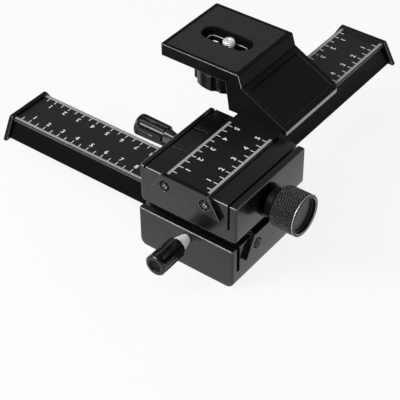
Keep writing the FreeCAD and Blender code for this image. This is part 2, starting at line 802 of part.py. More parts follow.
def drive_knob(stage):
    """Knob with a dished end, a hub behind it, a bore for the shaft and a hole for the set screw."""
    name = stage.node("drive_knob")
    hub = knob_rear - hub_start
    front = knob_front - hub_start
    dish = front - size.drive_knob_dish_depth
    bore_end = dish - size.dish_floor
    bevel = size.knob_bevel
    bore = size.shaft_radius + size.seat_play
    corners = [
        (bore, 0),
        (size.drive_hub_radius, 0),
        (size.drive_hub_radius, hub),
        (size.drive_knob_radius - bevel * 2, hub),
        (size.drive_knob_radius, hub + bevel * 2),
        (size.drive_knob_radius, front - bevel),
        (size.drive_knob_radius - bevel, front),
        (size.drive_knob_dish_radius, front),
        (size.drive_knob_dish_radius, dish),
        (0, dish),
        (0, bore_end),
        (bore, bore_end),
    ]
    body = turned(f"{name}_body", corners)
    hole = rod(
        f"{name}_grub_hole",
        size.grub_radius + size.seat_play,
        size.drive_hub_radius,
        (0, 0, hub / 2),
        ALONG_X,
    )
    knob = cut(name, body, [hole])
    return stage.seat(knob, size.pinion_shift, hub_start, pinion_height, ALONG_Y)


def knob_grub(stage):
    """Set screw through the knob's hub onto the shaft."""
    name = stage.node("knob_grub")
    start = size.shaft_radius + size.seat_play
    hub = knob_rear - hub_start
    corners = [
        (0, 0),
        (size.grub_radius, 0),
        (size.grub_radius, size.grub_length),
        (0, size.grub_length),
    ]
    body = turned(f"{name}_body", corners)
    key_start = size.grub_length - size.grub_key_depth
    key = rod(f"{name}_key", size.grub_radius / 2, size.grub_key_depth + 1, (0, 0, key_start))
    grub = cut(name, body, [key])
    along_knob = ALONG_Y.multiply(ALONG_X)
    direction = along_knob.multVec(Z_AXIS)
    reach = [start * round(c) for c in (direction.x, direction.y, direction.z)]
    return stage.seat(
        grub,
        size.pinion_shift + reach[0],
        hub_start + hub / 2 + reach[1],
        pinion_height + reach[2],
        along_knob,
    )


def lock_pad_face():
    """Stage y of the groove's flank on the clamp's lower side, where the pad first meets it."""
    height = lock_height - size.lock_stud_radius
    return -(groove_top_half + (flank_top - height) / tangent(size.flank_angle))


def lock_screw_start():
    """Stage y of the clamp stud's tip, which rests on the pad."""
    return lock_pad_face() - size.lock_pad_length


def lock_knob_start():
    """Stage y of the clamp knob's inner end."""
    return -(block_half + size.lock_reach - size.lock_knob_length)


def lock_screw(stage):
    """Clamp stud along its own Z, from the pad to the inside of the knob, with a flared shoulder."""
    name = stage.node("lock_screw")
    start = lock_screw_start()
    shoulder = start + block_half + size.lock_shoulder_gap
    knob = start - lock_knob_start()
    length = start + block_half + size.lock_reach - size.lock_dish_depth - size.dish_floor
    bevel = size.knob_bevel
    corners = [
        (0, 0),
        (size.lock_stud_radius - bevel, 0),
        (size.lock_stud_radius, bevel),
        (size.lock_stud_radius, shoulder),
        (size.lock_shoulder_rear_radius, shoulder),
        (size.lock_shoulder_front_radius, knob),
        (size.lock_stud_radius, knob),
        (size.lock_stud_radius, length),
        (0, length),
    ]
    return stage.seat(turned(name, corners), stage.lock_shift, start, lock_height, AGAINST_Y)


def lock_knob(stage):
    """Fluted clamp knob with a dished outer end."""
    name = stage.node("lock_knob")
    length = size.lock_knob_length
    bevel = size.knob_bevel
    dish = length - size.lock_dish_depth
    bore_end = dish - size.dish_floor
    bore = size.lock_stud_radius + size.seat_play
    corners = [
        (bore, 0),
        (size.lock_knob_rear_radius - bevel, 0),
        (size.lock_knob_rear_radius, bevel),
        (size.lock_knob_radius, length - bevel),
        (size.lock_knob_radius - bevel, length),
        (size.lock_dish_radius, length),
        (size.lock_dish_radius, dish),
        (0, dish),
        (0, bore_end),
        (bore, bore_end),
    ]
    body = turned(f"{name}_body", corners)
    ring = size.lock_knob_radius + size.lock_flute_radius - size.lock_flute_depth
    straight = length + 1 - size.lock_flute_stop
    flutes = flute_ring(name, LOCK_FLUTES, LOCK_FLUTE_ANGLE, ring, size.lock_flute_radius, straight, True)
    knob = cut(name, body, flutes)
    return stage.seat(knob, stage.lock_shift, lock_knob_start(), lock_height, AGAINST_Y)


def flute_ring(name, count, first_angle, ring_radius, cutter_radius, length, round_end=False):
    """Cutters parallel to Z, evenly spaced round it, that start below the piece; their tops may be balls."""
    cutters = []
    for index in range(count):
        angle = first_angle + 360 * index / count
        point = (ring_radius * cosine(angle), ring_radius * sine(angle), -1)
        cutters.append(rod(f"{name}_flute_{index + 1}", cutter_radius, length, point))
        if round_end:
            top = (point[0], point[1], length - 1)
            cutters.append(ball(f"{name}_flute_end_{index + 1}", cutter_radius, top))
    return cutters


def lock_pad(stage):
    """Plug between the clamp stud and the rail: its inner end is cut to the groove's flank."""
    name = stage.node("lock_pad")
    start = lock_screw_start()
    overrun = size.lock_pad_length + size.lock_stud_radius * 2
    shift = stage.lock_shift
    plug = rod(f"{name}_plug", size.lock_stud_radius, overrun, (shift, start, lock_height), ALONG_Y)
    corners = [
        (-groove_bottom_half, groove_floor),
        (0, groove_floor),
        (0, size.block_height),
        (-groove_top_half, size.block_height),
        (-groove_top_half, flank_top),
    ]
    room = prism(f"{name}_room", corners, size.lock_stud_radius * 4)
    place(room, (shift - size.lock_stud_radius * 2, 0, 0))
    return stage.seat(cut(name, plug, [room]))


# ---------------------------------------------------------------- pieces between and on the stages


def tripod_bush():
    """Threaded insert in the lower block's underside."""
    corners = [
        (size.socket_radius, 0),
        (size.insert_radius, 0),
        (size.insert_radius, size.socket_depth + size.insert_roof),
        (0, size.socket_depth + size.insert_roof),
        (0, size.socket_depth),
        (size.socket_radius, size.socket_depth),
    ]
    insert = turned("tripod_bush", corners)
    place(insert, (-size.socket_shift, 0, 0))
    return insert


def tripod_bush_seat():
    """In the lower stage's frame: the bore for the insert, open below."""
    depth = size.socket_depth + size.insert_roof + size.seat_play
    start = (-size.socket_shift, 0, -size.base_depth - 1)
    return rod("tripod_bush_seat", size.insert_radius + size.seat_play, depth + 1, start)


def stage_screw_points(height):
    """Four places on the lower rail, to each side of its rack."""
    return four_points(size.stage_shift, 0, size.stage_screw_spacing / 2, size.stage_screw_spread / 2, height)


def stage_screw_head_height():
    return size.stage_screw_head - size.stage_screw_thread


def countersinks(name, thread, head, head_height, points, turn):
    """Conical seats whose mouths lie at the points; the cone narrows along the turned Z axis."""
    tools = []
    for index, point in enumerate(points, start=1):
        sink = doc.addObject("Part::Cone", f"{name}_{index}")
        bind(sink, "Radius1", head)
        bind(sink, "Radius2", thread)
        bind(sink, "Height", head_height)
        place(sink, point, turn)
        tools.append(sink)
    return tools


def lower_rail_tools():
    """In the lower stage's frame: clearance holes and countersinks, open below, for the stage screws."""
    hole = size.stage_screw_thread + size.screw_play
    mouth = size.stage_screw_head + size.screw_play
    below = stage_screw_points(rail_bottom - 1)
    seats = stage_screw_points(rail_bottom + size.stage_screw_sunk)
    tools = rods("lower_rail_hole", hole, size.rail_height + 2, below)
    tools += rods("lower_rail_mouth", mouth, size.stage_screw_sunk + 1, below)
    tools += countersinks("lower_rail_sink", hole, mouth, stage_screw_head_height(), seats, NO_TURN)
    return tools


def stage_spacer():
    """Bar that carries the upper block clear of the lower one."""
    low = (size.stage_shift - size.spacer_length / 2, -size.spacer_width / 2, lower_rail_top)
    height = upper_floor - lower_rail_top
    bar = box("stage_spacer_bar", low, (size.spacer_length, size.spacer_width, height))
    hole = size.stage_screw_thread + size.screw_play
    holes = rods("stage_spacer_hole", hole, height + 2, stage_screw_points(lower_rail_top - 1))
    return cut("stage_spacer", bar, holes)


def stage_screw(name):
    """Flat-head screw, head down: its head's face is at the local origin and its thread runs up."""
    head = size.stage_screw_head
    thread = size.stage_screw_thread
    length = upper_floor + size.stage_screw_bite - lower_rail_bottom - size.stage_screw_sunk
    return flat_head_screw(name, head, thread, stage_screw_head_height(), length)


def stage_screws():
    return copies("stage_screws", stage_screw, stage_screw_points(lower_rail_bottom + size.stage_screw_sunk))


def flat_head_screw(name, head, thread, head_height, length):
    corners = [
        (0, 0),
        (head, 0),
        (thread, head_height),
        (thread, length),
        (0, length),
    ]
    return cross_cut(name, turned(f"{name}_body", corners), head)


def upper_block_tools():
    """In the upper stage's frame: blind holes for the stage screws, the jaw's groove, pocket and slots."""
    points = four_points(0, 0, size.stage_screw_spread / 2, size.stage_screw_spacing / 2, -1)
    depth = size.stage_screw_bite + size.blind_spare
    tools = rods("upper_block_hole", size.stage_screw_thread + size.seat_play, depth + 1, points)
    groove_low = size.block_height - size.jaw_groove_depth
    tools.append(
        box(
            "upper_block_jaw_groove",
            (-block_half - 1, -size.jaw_groove_offset - size.jaw_groove_width / 2, groove_low),
            (size.block_side + 2, size.jaw_groove_width, size.jaw_groove_depth + 1),
        )
    )
    tools.append(
        box(
            "upper_block_jaw_pocket",
            (
                size.jaw_pocket_shift - size.jaw_pocket_length / 2,
                -size.jaw_groove_offset,
                size.block_height - size.jaw_pocket_depth,
            ),
            (size.jaw_pocket_length, size.jaw_pocket_width, size.jaw_pocket_depth + 1),
        )
    )
    for end in (-1, 1):
        middle = size.jaw_pocket_shift + size.jaw_pocket_length / 2 * end
        tools.append(
            box(
                f"upper_block_jaw_slot_{end + 2}",
                (
                    middle - size.jaw_slot_width / 2,
                    -size.jaw_groove_offset,
                    size.block_height - size.jaw_slot_depth,
                ),
                (size.jaw_slot_width, size.jaw_pocket_width, size.jaw_slot_depth + 1),
            )
        )
    return tools


# The bracket is drawn in the part's own frame. Its section lies across the upper rail and runs along Y.

bracket_floor = upper_floor + rail_top
platform_top = bracket_floor + size.platform_rise
platform_bottom = platform_top - size.platform_thickness
platform_outer = size.platform_edge - size.platform_length
riser_top = size.platform_edge + size.platform_lean
foot_outer = size.stage_shift + size.foot_outer_reach
foot_inner = size.stage_shift - size.foot_inner_reach
wall_top = foot_inner - size.wall_lean
rail_side = size.stage_shift + rail_half + size.screw_play
slot_x = platform_outer + size.slot_middle
slot_y = size.bracket_near + size.bracket_width / 2


def along_y_prism(name, corners, start, length):
    """A section in x and z, drawn out along +Y from a start."""
    body = doc.addObject("PartDesign::Body", name)
    section = outline(body, f"{name}_section", "XZ_Plane", corners)
    pad = body.newObject("PartDesign::Pad", f"{name}_length")
    pad.Profile = section
    bind(pad, "Length", length)
    pad.Reversed = True
    place(body, (0, start, 0))
    return body


def camera_bracket():
    """Foot, side webs, sloped panel and platform in one casting; open towards the camera screw's knob."""
    corners = [
        (platform_outer, platform_top),
        (size.platform_edge, platform_top),
        (riser_top, platform_bottom),
        (foot_outer, bracket_floor + size.foot_lip),
        (foot_outer, bracket_floor - size.foot_skirt),
        (rail_side, bracket_floor - size.foot_skirt),
        (rail_side, bracket_floor),
        (foot_inner, bracket_floor),
        (wall_top, platform_bottom),
        (platform_outer, platform_bottom),
    ]
    solid = along_y_prism("camera_bracket_solid", corners, size.bracket_near, size.bracket_width)

    def platform_corner(middle, direction):
        return near(abs(direction.z), 1) and near(middle.x, platform_outer.number)

    round_edges(solid, "camera_bracket_corners", size.platform_corner, platform_corner)
    tools = [bracket_hollow(), panel_field(), pad_pocket()]
    tools += slot_tools() + bracket_screw_tools()
    return cut("camera_bracket", solid, tools)


def panel_slope():
    """Fall of the sloped panel for each millimetre along x."""
    drop = platform_bottom - bracket_floor - size.foot_lip
    return drop / (foot_outer - riser_top)


def panel_height(x, depth):
    """Height of a line parallel to the sloped panel, sunk straight down by a depth."""
    return platform_bottom - (x - riser_top) * panel_slope() - depth


def bracket_hollow():
    """The space between the webs, under the panel and over the foot."""
    foot_top = bracket_floor + size.foot_thickness
    notch = foot_inner + size.foot_notch
    # The panel's thickness, measured straight down.
    depth = size.panel_thickness * square_root(panel_slope() * panel_slope() + 1)
    roof_start = riser_top - depth / panel_slope()
    roof_end = riser_top + (platform_bottom - depth - foot_top) / panel_slope()
    corners = [
        (wall_top - 1, platform_bottom),
        (roof_start, platform_bottom),
        (roof_end, foot_top),
        (notch, foot_top),
        (notch, bracket_floor - 1),
        (wall_top - 1, bracket_floor - 1),
    ]
    length = size.bracket_width - size.web_thickness * 2
    return along_y_prism("bracket_hollow", corners, size.bracket_near + size.web_thickness, length)


def panel_field():
    """The sunk field of the sloped panel, a border's width inside its edges."""
    start = riser_top + size.panel_border
    end = foot_outer - size.panel_border
    depth = size.panel_recess
    corners = [
        (start, panel_height(start, depth)),
        (end, panel_height(end, depth)),
        (end, panel_height(end, -2)),
        (start, panel_height(start, -2)),
    ]
    length = size.bracket_width - size.panel_border * 2
    return along_y_prism("panel_field", corners, size.bracket_near + size.panel_border, length)


def pad_pocket():
    """The shallow pocket in the platform that the rubber pad lies in."""
    inset = size.pad_inset
    return box(
        "pad_pocket",
        (platform_outer + inset, size.bracket_near + inset, platform_top - size.pad_sunk),
        (size.platform_length - inset * 2, size.bracket_width - inset * 2, size.pad_sunk + 1),
    )


def racetrack(name, length, width, bottom, height):
    """A slot-shaped tool along x, centred on the platform's slot."""
    straight = length - width
    low = slot_x - straight / 2
    middle = box(f"{name}_middle", (low, slot_y - width / 2, bottom), (straight, width, height))
    ends = rods(f"{name}_end", width / 2, height, [(low, slot_y, bottom), (low + straight, slot_y, bottom)])
    return [middle] + ends


def slot_tools():
    """The camera screw's slot: a wide recess with a narrow step, and a narrow neck right through."""
    depth = size.slot_depth
    width = size.slot_neck_width
    neck_length = size.slot_length - size.slot_width + width
    step = size.slot_step_width * 2
    step_height = platform_top - size.slot_step_depth
    recess = racetrack(
        "slot_recess", size.slot_length, size.slot_width, step_height, size.slot_step_depth + 1
    )
    recess += racetrack(
        "slot_floor", size.slot_length - step, size.slot_width - step, platform_top - depth, depth
    )
    neck = racetrack("slot_neck", neck_length, width, platform_bottom - 1, size.platform_thickness + 1)
    return recess + neck


def platform_pad():
    """Rubber pad in the platform's pocket, with a window round the slot's recess."""
    play = size.screw_play
    inset = size.pad_inset + play
    sheet_of_rubber = box(
        "platform_pad_sheet",
        (platform_outer + inset, size.bracket_near + inset, platform_top - size.pad_sunk),
        (size.platform_length - inset * 2, size.bracket_width - inset * 2, size.pad_sunk),
    )
    window = racetrack(
        "platform_pad_window",
        size.slot_length + play * 2,
        size.slot_width + play * 2,
        platform_top - size.pad_sunk - 1,
        size.pad_sunk + 2,
    )
    return cut("platform_pad", sheet_of_rubber, window)


def bracket_screw_points(height):
    half_x = size.bracket_screw_spread / 2
    half_y = size.bracket_screw_spacing / 2
    return four_points(size.stage_shift, slot_y, half_x, half_y, height)


def bracket_screw_tools():
    """Through holes and countersinks in the foot."""
    foot_top = bracket_floor + size.foot_thickness
    hole = size.bracket_screw_thread + size.screw_play
    mouth = size.bracket_screw_head + size.screw_play
    height = size.bracket_screw_head - size.bracket_screw_thread
    down = FreeCAD.Rotation(X_AXIS, 180)
    tools = rods("bracket_hole", hole, size.foot_thickness + 1, bracket_screw_points(bracket_floor - 1))
    return tools + countersinks("bracket_sink", hole, mouth, height, bracket_screw_points(foot_top), down)


def bracket_screw(name):
    head = size.bracket_screw_head
    thread = size.bracket_screw_thread
    length = size.foot_thickness + size.bracket_screw_bite
    return flat_head_screw(name, head, thread, head - thread, length)


def bracket_screws():
    top = bracket_floor + size.foot_thickness
    return copies("bracket_screws", bracket_screw, bracket_screw_points(top), FreeCAD.Rotation(X_AXIS, 180))


def bracket_rail_holes():
    """Tapped holes for the bracket's screws, in the upper stage's frame."""
    depth = size.bracket_screw_bite + size.blind_spare
    half_x = size.bracket_screw_spacing / 2
    half_y = size.bracket_screw_spread / 2
    points = four_points(-slot_y, 0, half_x, half_y, rail_top - depth)
    return rods("upper_rail_bracket_hole", size.bracket_screw_thread + size.seat_play, depth + 1, points)


screw_x = slot_x + size.camera_screw_shift
screw_top = platform_top - size.camera_screw_sunk
camera_knob_bottom = bracket_floor + size.camera_knob_clearance
camera_knob_top = camera_knob_bottom + size.camera_knob_height


def camera_screw():
    """Captive screw: threaded tip above the slot's neck, and a plain neck down into the knob."""
    start = camera_knob_bottom + size.camera_knob_floor
    tip_start = screw_top - size.camera_screw_head
    bevel = size.knob_bevel
    corners = [
        (0, start),
        (size.camera_screw_neck, start),
        (size.camera_screw_neck, tip_start),
        (size.camera_screw_radius, tip_start),
        (size.camera_screw_radius, screw_top - bevel),
        (size.camera_screw_radius - bevel, screw_top),
        (0, screw_top),
    ]
    screw = turned("camera_screw", corners)
    place(screw, (screw_x, slot_y, 0))
    return screw


def camera_screw_knob():
    """Flat scalloped knob, pressed on the lower end of the camera screw's neck."""
    bevel = size.knob_bevel
    radius = size.camera_knob_radius
    bore = size.camera_screw_neck + size.seat_play
    height = size.camera_knob_height
    corners = [
        (0, 0),
        (radius - bevel, 0),
        (radius, bevel),
        (radius, height - bevel),
        (radius - bevel, height),
        (bore, height),
        (bore, size.camera_knob_floor),
        (0, size.camera_knob_floor),
    ]
    body = turned("camera_screw_knob_body", corners)
    ring = radius + size.camera_scallop_radius - size.camera_scallop_depth
    cutter = size.camera_scallop_radius
    cutters = flute_ring("camera_screw_knob", CAMERA_SCALLOPS, CAMERA_SCALLOP_ANGLE, ring, cutter, height + 2)
    knob = cut("camera_screw_knob", body, cutters)
    place(knob, (screw_x, slot_y, camera_knob_bottom))
    return knob


def camera_screw_washer():
    """Flat washer round the neck, on top of the knob."""
    bore = size.camera_screw_neck + size.running_play
    corners = [
        (bore, 0),
        (size.washer_radius, 0),
        (size.washer_radius, size.washer_thickness),
        (bore, size.washer_thickness),
    ]
    washer = turned("camera_screw_washer", corners)
    place(washer, (screw_x, slot_y, camera_knob_top))
    return washer


# ---------------------------------------------------------------- assembly


def like_pieces(stage):
    """The pieces that are the same in both stages."""
    return [
        rack(stage),
        plate_screws(stage),
        pinion_shaft(stage),
        drive_bush(stage),
        drive_knob(stage),
        knob_grub(stage),
        lock_screw(stage),
        lock_knob(stage),
        lock_pad(stage),
    ]


def build():
    lower = Stage("lower", False, as_size(0), lower_floor, size.lower_lock_shift)
    upper = Stage("upper", True, size.stage_shift, upper_floor, size.upper_lock_shift)
    lower_tools = [tripod_bush_seat()]
    pieces = [
        block(lower, -1, size.lower_slit_width, -size.base_depth, size.base_belly, False, lower_tools),
        rail(lower, lower_rail_tools()),
        end_plate(lower, "end_plate_left", plate_start, plate_start, ALONG_X),
        end_plate(lower, "end_plate_right", rail_end, plate_end, AGAINST_X),
        block(upper, 1, size.upper_slit_width, as_size(0), size.upper_belly, True, upper_block_tools()),
        rail(upper, bracket_rail_holes()),
        end_plate(upper, "end_plate_back", plate_start, plate_start, ALONG_X),
        end_plate(upper, "end_plate_front", rail_end, plate_end, AGAINST_X),
    ]
    pieces += like_pieces(lower) + like_pieces(upper)
    pieces += [
        tripod_bush(),
        stage_spacer(),
        stage_screws(),
        camera_bracket(),
        bracket_screws(),
        platform_pad(),
        camera_screw(),
        camera_screw_knob(),
        camera_screw_washer(),
    ]
    return pieces


def check(pieces):
    """Stops if any object failed or any sub-part has no sound solid."""
    for item in doc.Objects:
        if "Invalid" in item.State or "Error" in item.State:
            raise RuntimeError(f"{item.Name}: {item.State}")
    for piece in pieces:
        shape = piece.Shape
        if shape.isNull() or not shape.isValid() or not shape.Solids:
            raise RuntimeError(f"{piece.Name}: no valid solid")


def export(pieces):
    os.makedirs("parts", exist_ok=True)
    for piece in pieces:
        piece.Label = piece.Name
        piece.Shape.exportStep(f"parts/{piece.Label}.step")
        shape = piece.Shape
        print(f"{piece.Label}: {len(shape.Solids)} solid(s), {shape.Volume:.1f} mm3")


sub_parts = build()
doc.recompute()
check(sub_parts)
export(sub_parts)
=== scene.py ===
import json
import math

import bmesh
import bpy
from mathutils import Matrix, Vector


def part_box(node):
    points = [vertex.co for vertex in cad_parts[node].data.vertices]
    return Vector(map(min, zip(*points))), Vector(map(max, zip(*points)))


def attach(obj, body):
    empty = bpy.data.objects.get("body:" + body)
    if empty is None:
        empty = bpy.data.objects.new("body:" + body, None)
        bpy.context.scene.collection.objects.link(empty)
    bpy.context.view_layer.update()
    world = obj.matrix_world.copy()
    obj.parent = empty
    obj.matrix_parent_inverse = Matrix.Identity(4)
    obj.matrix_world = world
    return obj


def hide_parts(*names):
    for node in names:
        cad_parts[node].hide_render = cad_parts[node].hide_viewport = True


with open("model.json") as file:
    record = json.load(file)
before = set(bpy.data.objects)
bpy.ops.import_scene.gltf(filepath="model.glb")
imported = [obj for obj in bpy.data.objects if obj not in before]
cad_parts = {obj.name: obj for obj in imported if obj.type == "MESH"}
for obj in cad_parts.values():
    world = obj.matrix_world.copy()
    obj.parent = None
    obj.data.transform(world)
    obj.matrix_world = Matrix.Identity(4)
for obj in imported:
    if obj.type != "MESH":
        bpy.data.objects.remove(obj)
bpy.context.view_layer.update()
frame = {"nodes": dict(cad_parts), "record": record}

bl_info = {
    "name": "Macro focusing rail",
    "version": (1, 0, 0),
    "blender": (4, 5, 0),
    "location": "View3D > Sidebar > Focusing Rail",
    "description": "Finishes, printed scales, knurling and studio for a macro focusing rail",
    "category": "Object",
}

NODES = frame["nodes"]
BODIES = frame["record"]["behaviour"]["bodies"]
BODY_OF = {node: body for body, nodes in BODIES.items() for node in nodes}

MM = 0.001
MERGE_DISTANCE = 1e-6
SLACK = 0.01 * MM
UP = Vector((0, 0, 1))

# Heights of the grain in the finishes.
FAINT = 0.006 * MM
LIGHT = 0.01 * MM

# The part of a face's normal along an axis that it looks along, or leans towards.
FACING = 0.9
LEANING = 0.2

# A face over the small area is no edge break, and one over the large area is a whole panel.
SMALL_AREA = 5 * MM**2
LARGE_AREA = 20 * MM**2

# Degrees: faces this close are one flat face, and sharper corners than these stay edges.
FLAT = 0.4
MACHINED_CORNER = 30
MOULDED_CORNER = 25

# Flats that make up a large rounding.
ROUND_STEPS = 4

# Each lamp's name, place and size, and the spot that all of them light.
LAMPS = (
    ("key_lamp", (-0.46, -0.7, 0.7), 0.5),
    ("top_lamp", (0.06, -0.36, 1.0), 0.35),
    ("side_lamp", (0.9, -0.25, 0.45), 0.4),
)
AIM = Vector((-0.02, 0.02, 0.04))
FLOOR_SIZE = 6
FLOOR_DROP = 0.5 * MM

# Heights on the unit sky at which its low and its high brightness begin.
LOW_SKY = 0.12
HIGH_SKY = 0.5

# The camera's place, and its own right, up and backward directions.
CAMERA_PLACE = Vector((0.290524, -0.398175, 0.444606))
CAMERA_AXES = (
    (0.799367, 0.600803, -0.006933),
    (-0.386066, 0.522434, 0.760273),
    (0.460397, -0.605061, 0.649566),
)
SENSOR_WIDTH = 36
NEAR_CLIP = 10 * MM


# ---------------------------------------------------------------- settings


def real(name, description, default, **limits):
    return bpy.props.FloatProperty(
        name=name, description=description, default=default, min=0, **limits
    )


def length(name, description, millimetres):
    return real(name, description, millimetres * MM, unit="LENGTH", precision=5)


def share(name, description, default):
    return real(name, description, default, max=1, subtype="FACTOR")


def power(name, description, default):
    return real(name, description, default, unit="POWER")


def count(name, description, default):
    return bpy.props.IntProperty(name=name, description=description, default=default, min=1)


def colour(name, description, *levels):
    """A colour from three levels, or a grey from one."""
    default = levels if len(levels) == 3 else levels * 3
    return bpy.props.FloatVectorProperty(
        name=name, description=description, default=default, min=0, max=1, subtype="COLOR"
    )


class ScaleSizes(bpy.types.PropertyGroup):
    """The printed scales and the bright bands along the rails."""

    zero_inset: length("Zero inset", "Zero mark from the end plate's outer face", 1.4)
    tick_pitch: length("Tick pitch", "Distance between two marks", 5)
    tick_length: length("Tick length", "Length of a mark", 2.5)
    tick_width: length("Tick width", "Width of a mark's stroke", 0.42)
    digit_height: length("Digit size", "Type size of the numbers", 3.9)
    digit_weight: length("Digit weight", "How far the numbers' strokes are thickened", 0.1)
    digit_gap: length("Digit gap", "Middle of a number from its mark's inner end", 2.7)
    ink: length("Ink", "Thickness of the print", 0.02)
    band_outer: length("Band outer", "Band's outer side from the rail's middle", 12.9)
    band_width: length("Band width", "Width of the bright band", 1.5)
    land_offset: length("Land offset", "Bare strip from the rail's middle", 13.4)
    land_drop: length("Land drop", "Bare strip's lower edge below the rail's top", 1.45)
    from_far_end: count("Far numbers", "Highest number counted from the long end", 8)
    from_block_end: count("Near numbers", "Highest number counted from the block's end", 7)
    # Painted shadow: beside the bracket's foot the upper rail is left without bands and marks,
    # standing in for the foot's shadow on it.
    foot_margin: length("Foot margin", "Bare stretch of rail beside the bracket's foot", 7.3)


class KnurlSizes(bpy.types.PropertyGroup):
    """The drive knobs and their diamond knurl."""

    columns: count("Columns", "Diamonds around the knob", 30)
    rows: count("Rows", "Diamonds along the knob", 12)
    depth: length("Depth", "Height of a diamond's point", 0.45)
    rear_rim: length("Rear rim", "Smooth rim behind the knurl", 1.4)
    front_rim: length("Front rim", "Smooth rim in front of the knurl", 1.3)
    bore_radius: length("Bore radius", "Radius of the filled bore", 2.02)
    hub_radius: length("Hub radius", "Radius of the hub behind the knob", 7.5)
    hub_height: length("Hub height", "Height of that hub", 4.5)
    dish_radius: length("Dish radius", "Radius of the dish in the knob's end", 9.3)
    dish_depth: length("Dish depth", "Depth of that dish", 2.2)


class EdgeSizes(bpy.types.PropertyGroup):
    """Broken edges, as they come out of the mould or the deburring."""

    outline: length("Outline", "Rounding round the top and underside of the blocks", 0.6)
    base: length("Base", "Rounding round the lower block's underside", 1.0)
    upright: length("Upright corner", "Radius of the blocks' upright corners", 1.2)
    block: length("Block", "Edge break of the blocks' slots and bores", 0.12)
    bracket: length("Bracket", "Edge break of the camera bracket", 0.35)
    lip_corner: length("Lip corner", "Rounding at the far end of the bracket's lip", 3.0)
    step_drop: length("Step drop", "Step in the camera screw's slot, below the platform top", 1.9)
    floor_drop: length("Floor drop", "Floor of that slot's recess, below the platform top", 3.6)
    plate: length("Plate", "Edge break of the end plates", 0.25)
    rail: length("Rail", "Edge break of the rails", 0.2)
    knob: length("Knob", "Edge break of the moulded knobs", 0.2)
    dish_depth: length("Dish depth", "Depth of the dish in a clamp knob's end", 0.8)
    screw: length("Screw", "Edge break of studs, washers and the pad", 0.08)
    tread_pitch: length("Tread pitch", "Pitch of the pad's square tread", 0.9)
    head: length("Head", "Doming of the end plates' screw heads", 0.75)
    thread_pitch: length("Thread pitch", "Pitch of the camera screw's quarter-inch thread", 1.27)
    thread_depth: length("Thread depth", "Depth of that thread", 0.6)
    thread_length: length("Thread length", "Length of that thread from the tip", 3.2)


class FinishColours(bpy.types.PropertyGroup):
    """Base colours of the finishes."""

    block: colour("Block", "Glossy paint of the blocks", 0.005, 0.005, 0.0053)
    rail_top: colour("Rail top", "Blasted and anodised top of the rails", 0.005, 0.005, 0.0052)
    rail_side: colour("Rail side", "Anodised sides of the rails", 0.002, 0.002, 0.0022)
    plate: colour("Plate", "End plates", 0.005, 0.005, 0.0052)
    # Painted shade: the end plates' slanted sides and tops are coloured darker and less glossy
    # than their faces, for the shade they lie in.
    plate_side: colour("Plate side", "Slanted sides of the end plates", 0.002)
    bracket: colour("Bracket", "Camera bracket", 0.004)
    panel: colour("Panel", "Sloped panel of the bracket", 0.0075, 0.0070, 0.0066)
    # Painted reflection: the bracket's lip is coloured light grey to stand in for the floor's
    # reflection in its upright face, not for rubbed paint.
    lip: colour("Lip", "Rubbed edge at the foot of the bracket", 0.29)
    # Painted reflection: the light grey on the chamfer round the lower block's underside stands
    # in for the floor's reflection in it, not for bare metal.
    base_edge: colour("Base edge", "Bare chamfer round the lower block's underside", 0.7)
    ledge: colour("Ledge", "Bare ledges in the camera screw's slot", 0.5)
    worn: colour("Worn", "Worn edges", 0.035)
    rubber: colour("Rubber", "Platform pad", 0.010)
    moulding: colour("Moulding", "Glossy plastic knobs", 0.003)
    knurl: colour("Knurl", "Drive knobs", 0.004)
    # Crest: partly rubbed wear, partly a painted highlight on the knurl's points.
    crest: colour("Crest", "Rubbed points of the knurl", 0.8)
    # Rim: partly rubbed wear, partly a painted highlight on the dish's rim.
    rim: colour("Rim", "Rubbed rim of the drive knobs' dish", 0.2)
    band: colour("Band", "Bright bands along the rails", 0.34)
    land: colour("Land", "Bare strip on the rails' lands", 0.055)
    print: colour("Print", "Marks and numbers", 0.86)
    # Painted reflection: on the lower clamp's stud this bright diffuse white stands in for the
    # chrome's reflection; on the camera screw it is its plating.
    zinc: colour("Zinc", "Bright plating of the camera screw and the lower clamp's stud", 0.95)
    # Painted shade: the upper clamp's stud is the same chrome part, coloured dark for the shade
    # it sits in.
    dark_chrome: colour("Dark chrome", "The upper clamp's stud", 0.12)
    black_screw: colour("Black screw", "Blackened screws", 0.02)
    recess: colour("Recess", "Bare metal in the screws' recesses", 0.3)
    steel: colour("Steel", "Plain and zinc-plated steel", 0.42, 0.42, 0.43)
    bronze: colour("Bronze", "Tripod insert", 0.45, 0.30, 0.14)
    nylon: colour("Nylon", "Clamp pads", 0.62, 0.61, 0.56)


class StageSettings(bpy.types.PropertyGroup):
    """The studio around the object."""

    lens: real("Lens", "Focal length in millimetres", 117.06, unit="CAMERA")
    low: share("Low surroundings", "Brightness of the surroundings near the floor", 1.0)
    high: share("High surroundings", "Brightness of the surroundings overhead", 0.24)
    key: power("Key", "Power of the front lamp", 10.0)
    top: power("Top", "Power of the lamp overhead", 1.5)
    side: power("Side", "Power of the side lamp", 0.7)
    floor: colour("Floor", "Colour of the floor", 0.8)
    floor_glow: share("Floor glow", "Share of plain white in the floor", 0.86)


# ---------------------------------------------------------------- modelling helpers


def deselect():
    if bpy.context.object and bpy.context.object.mode != "OBJECT":
        bpy.ops.object.mode_set(mode="OBJECT")
    bpy.ops.object.select_all(action="DESELECT")


def take(piece):
    """Makes a piece the only one that the next operator works on."""
    deselect()
    piece.select_set(True)
    bpy.context.view_layer.objects.active = piece


def added(operator, name, **settings):
    """The object that an add operator makes, with nothing else selected."""
    deselect()
    operator(**settings)
    piece = bpy.context.object
    piece.name = name
    return piece


def new_piece(name, mesh):
    piece = bpy.data.objects.new(name, mesh)
    bpy.context.scene.collection.objects.link(piece)
    return piece


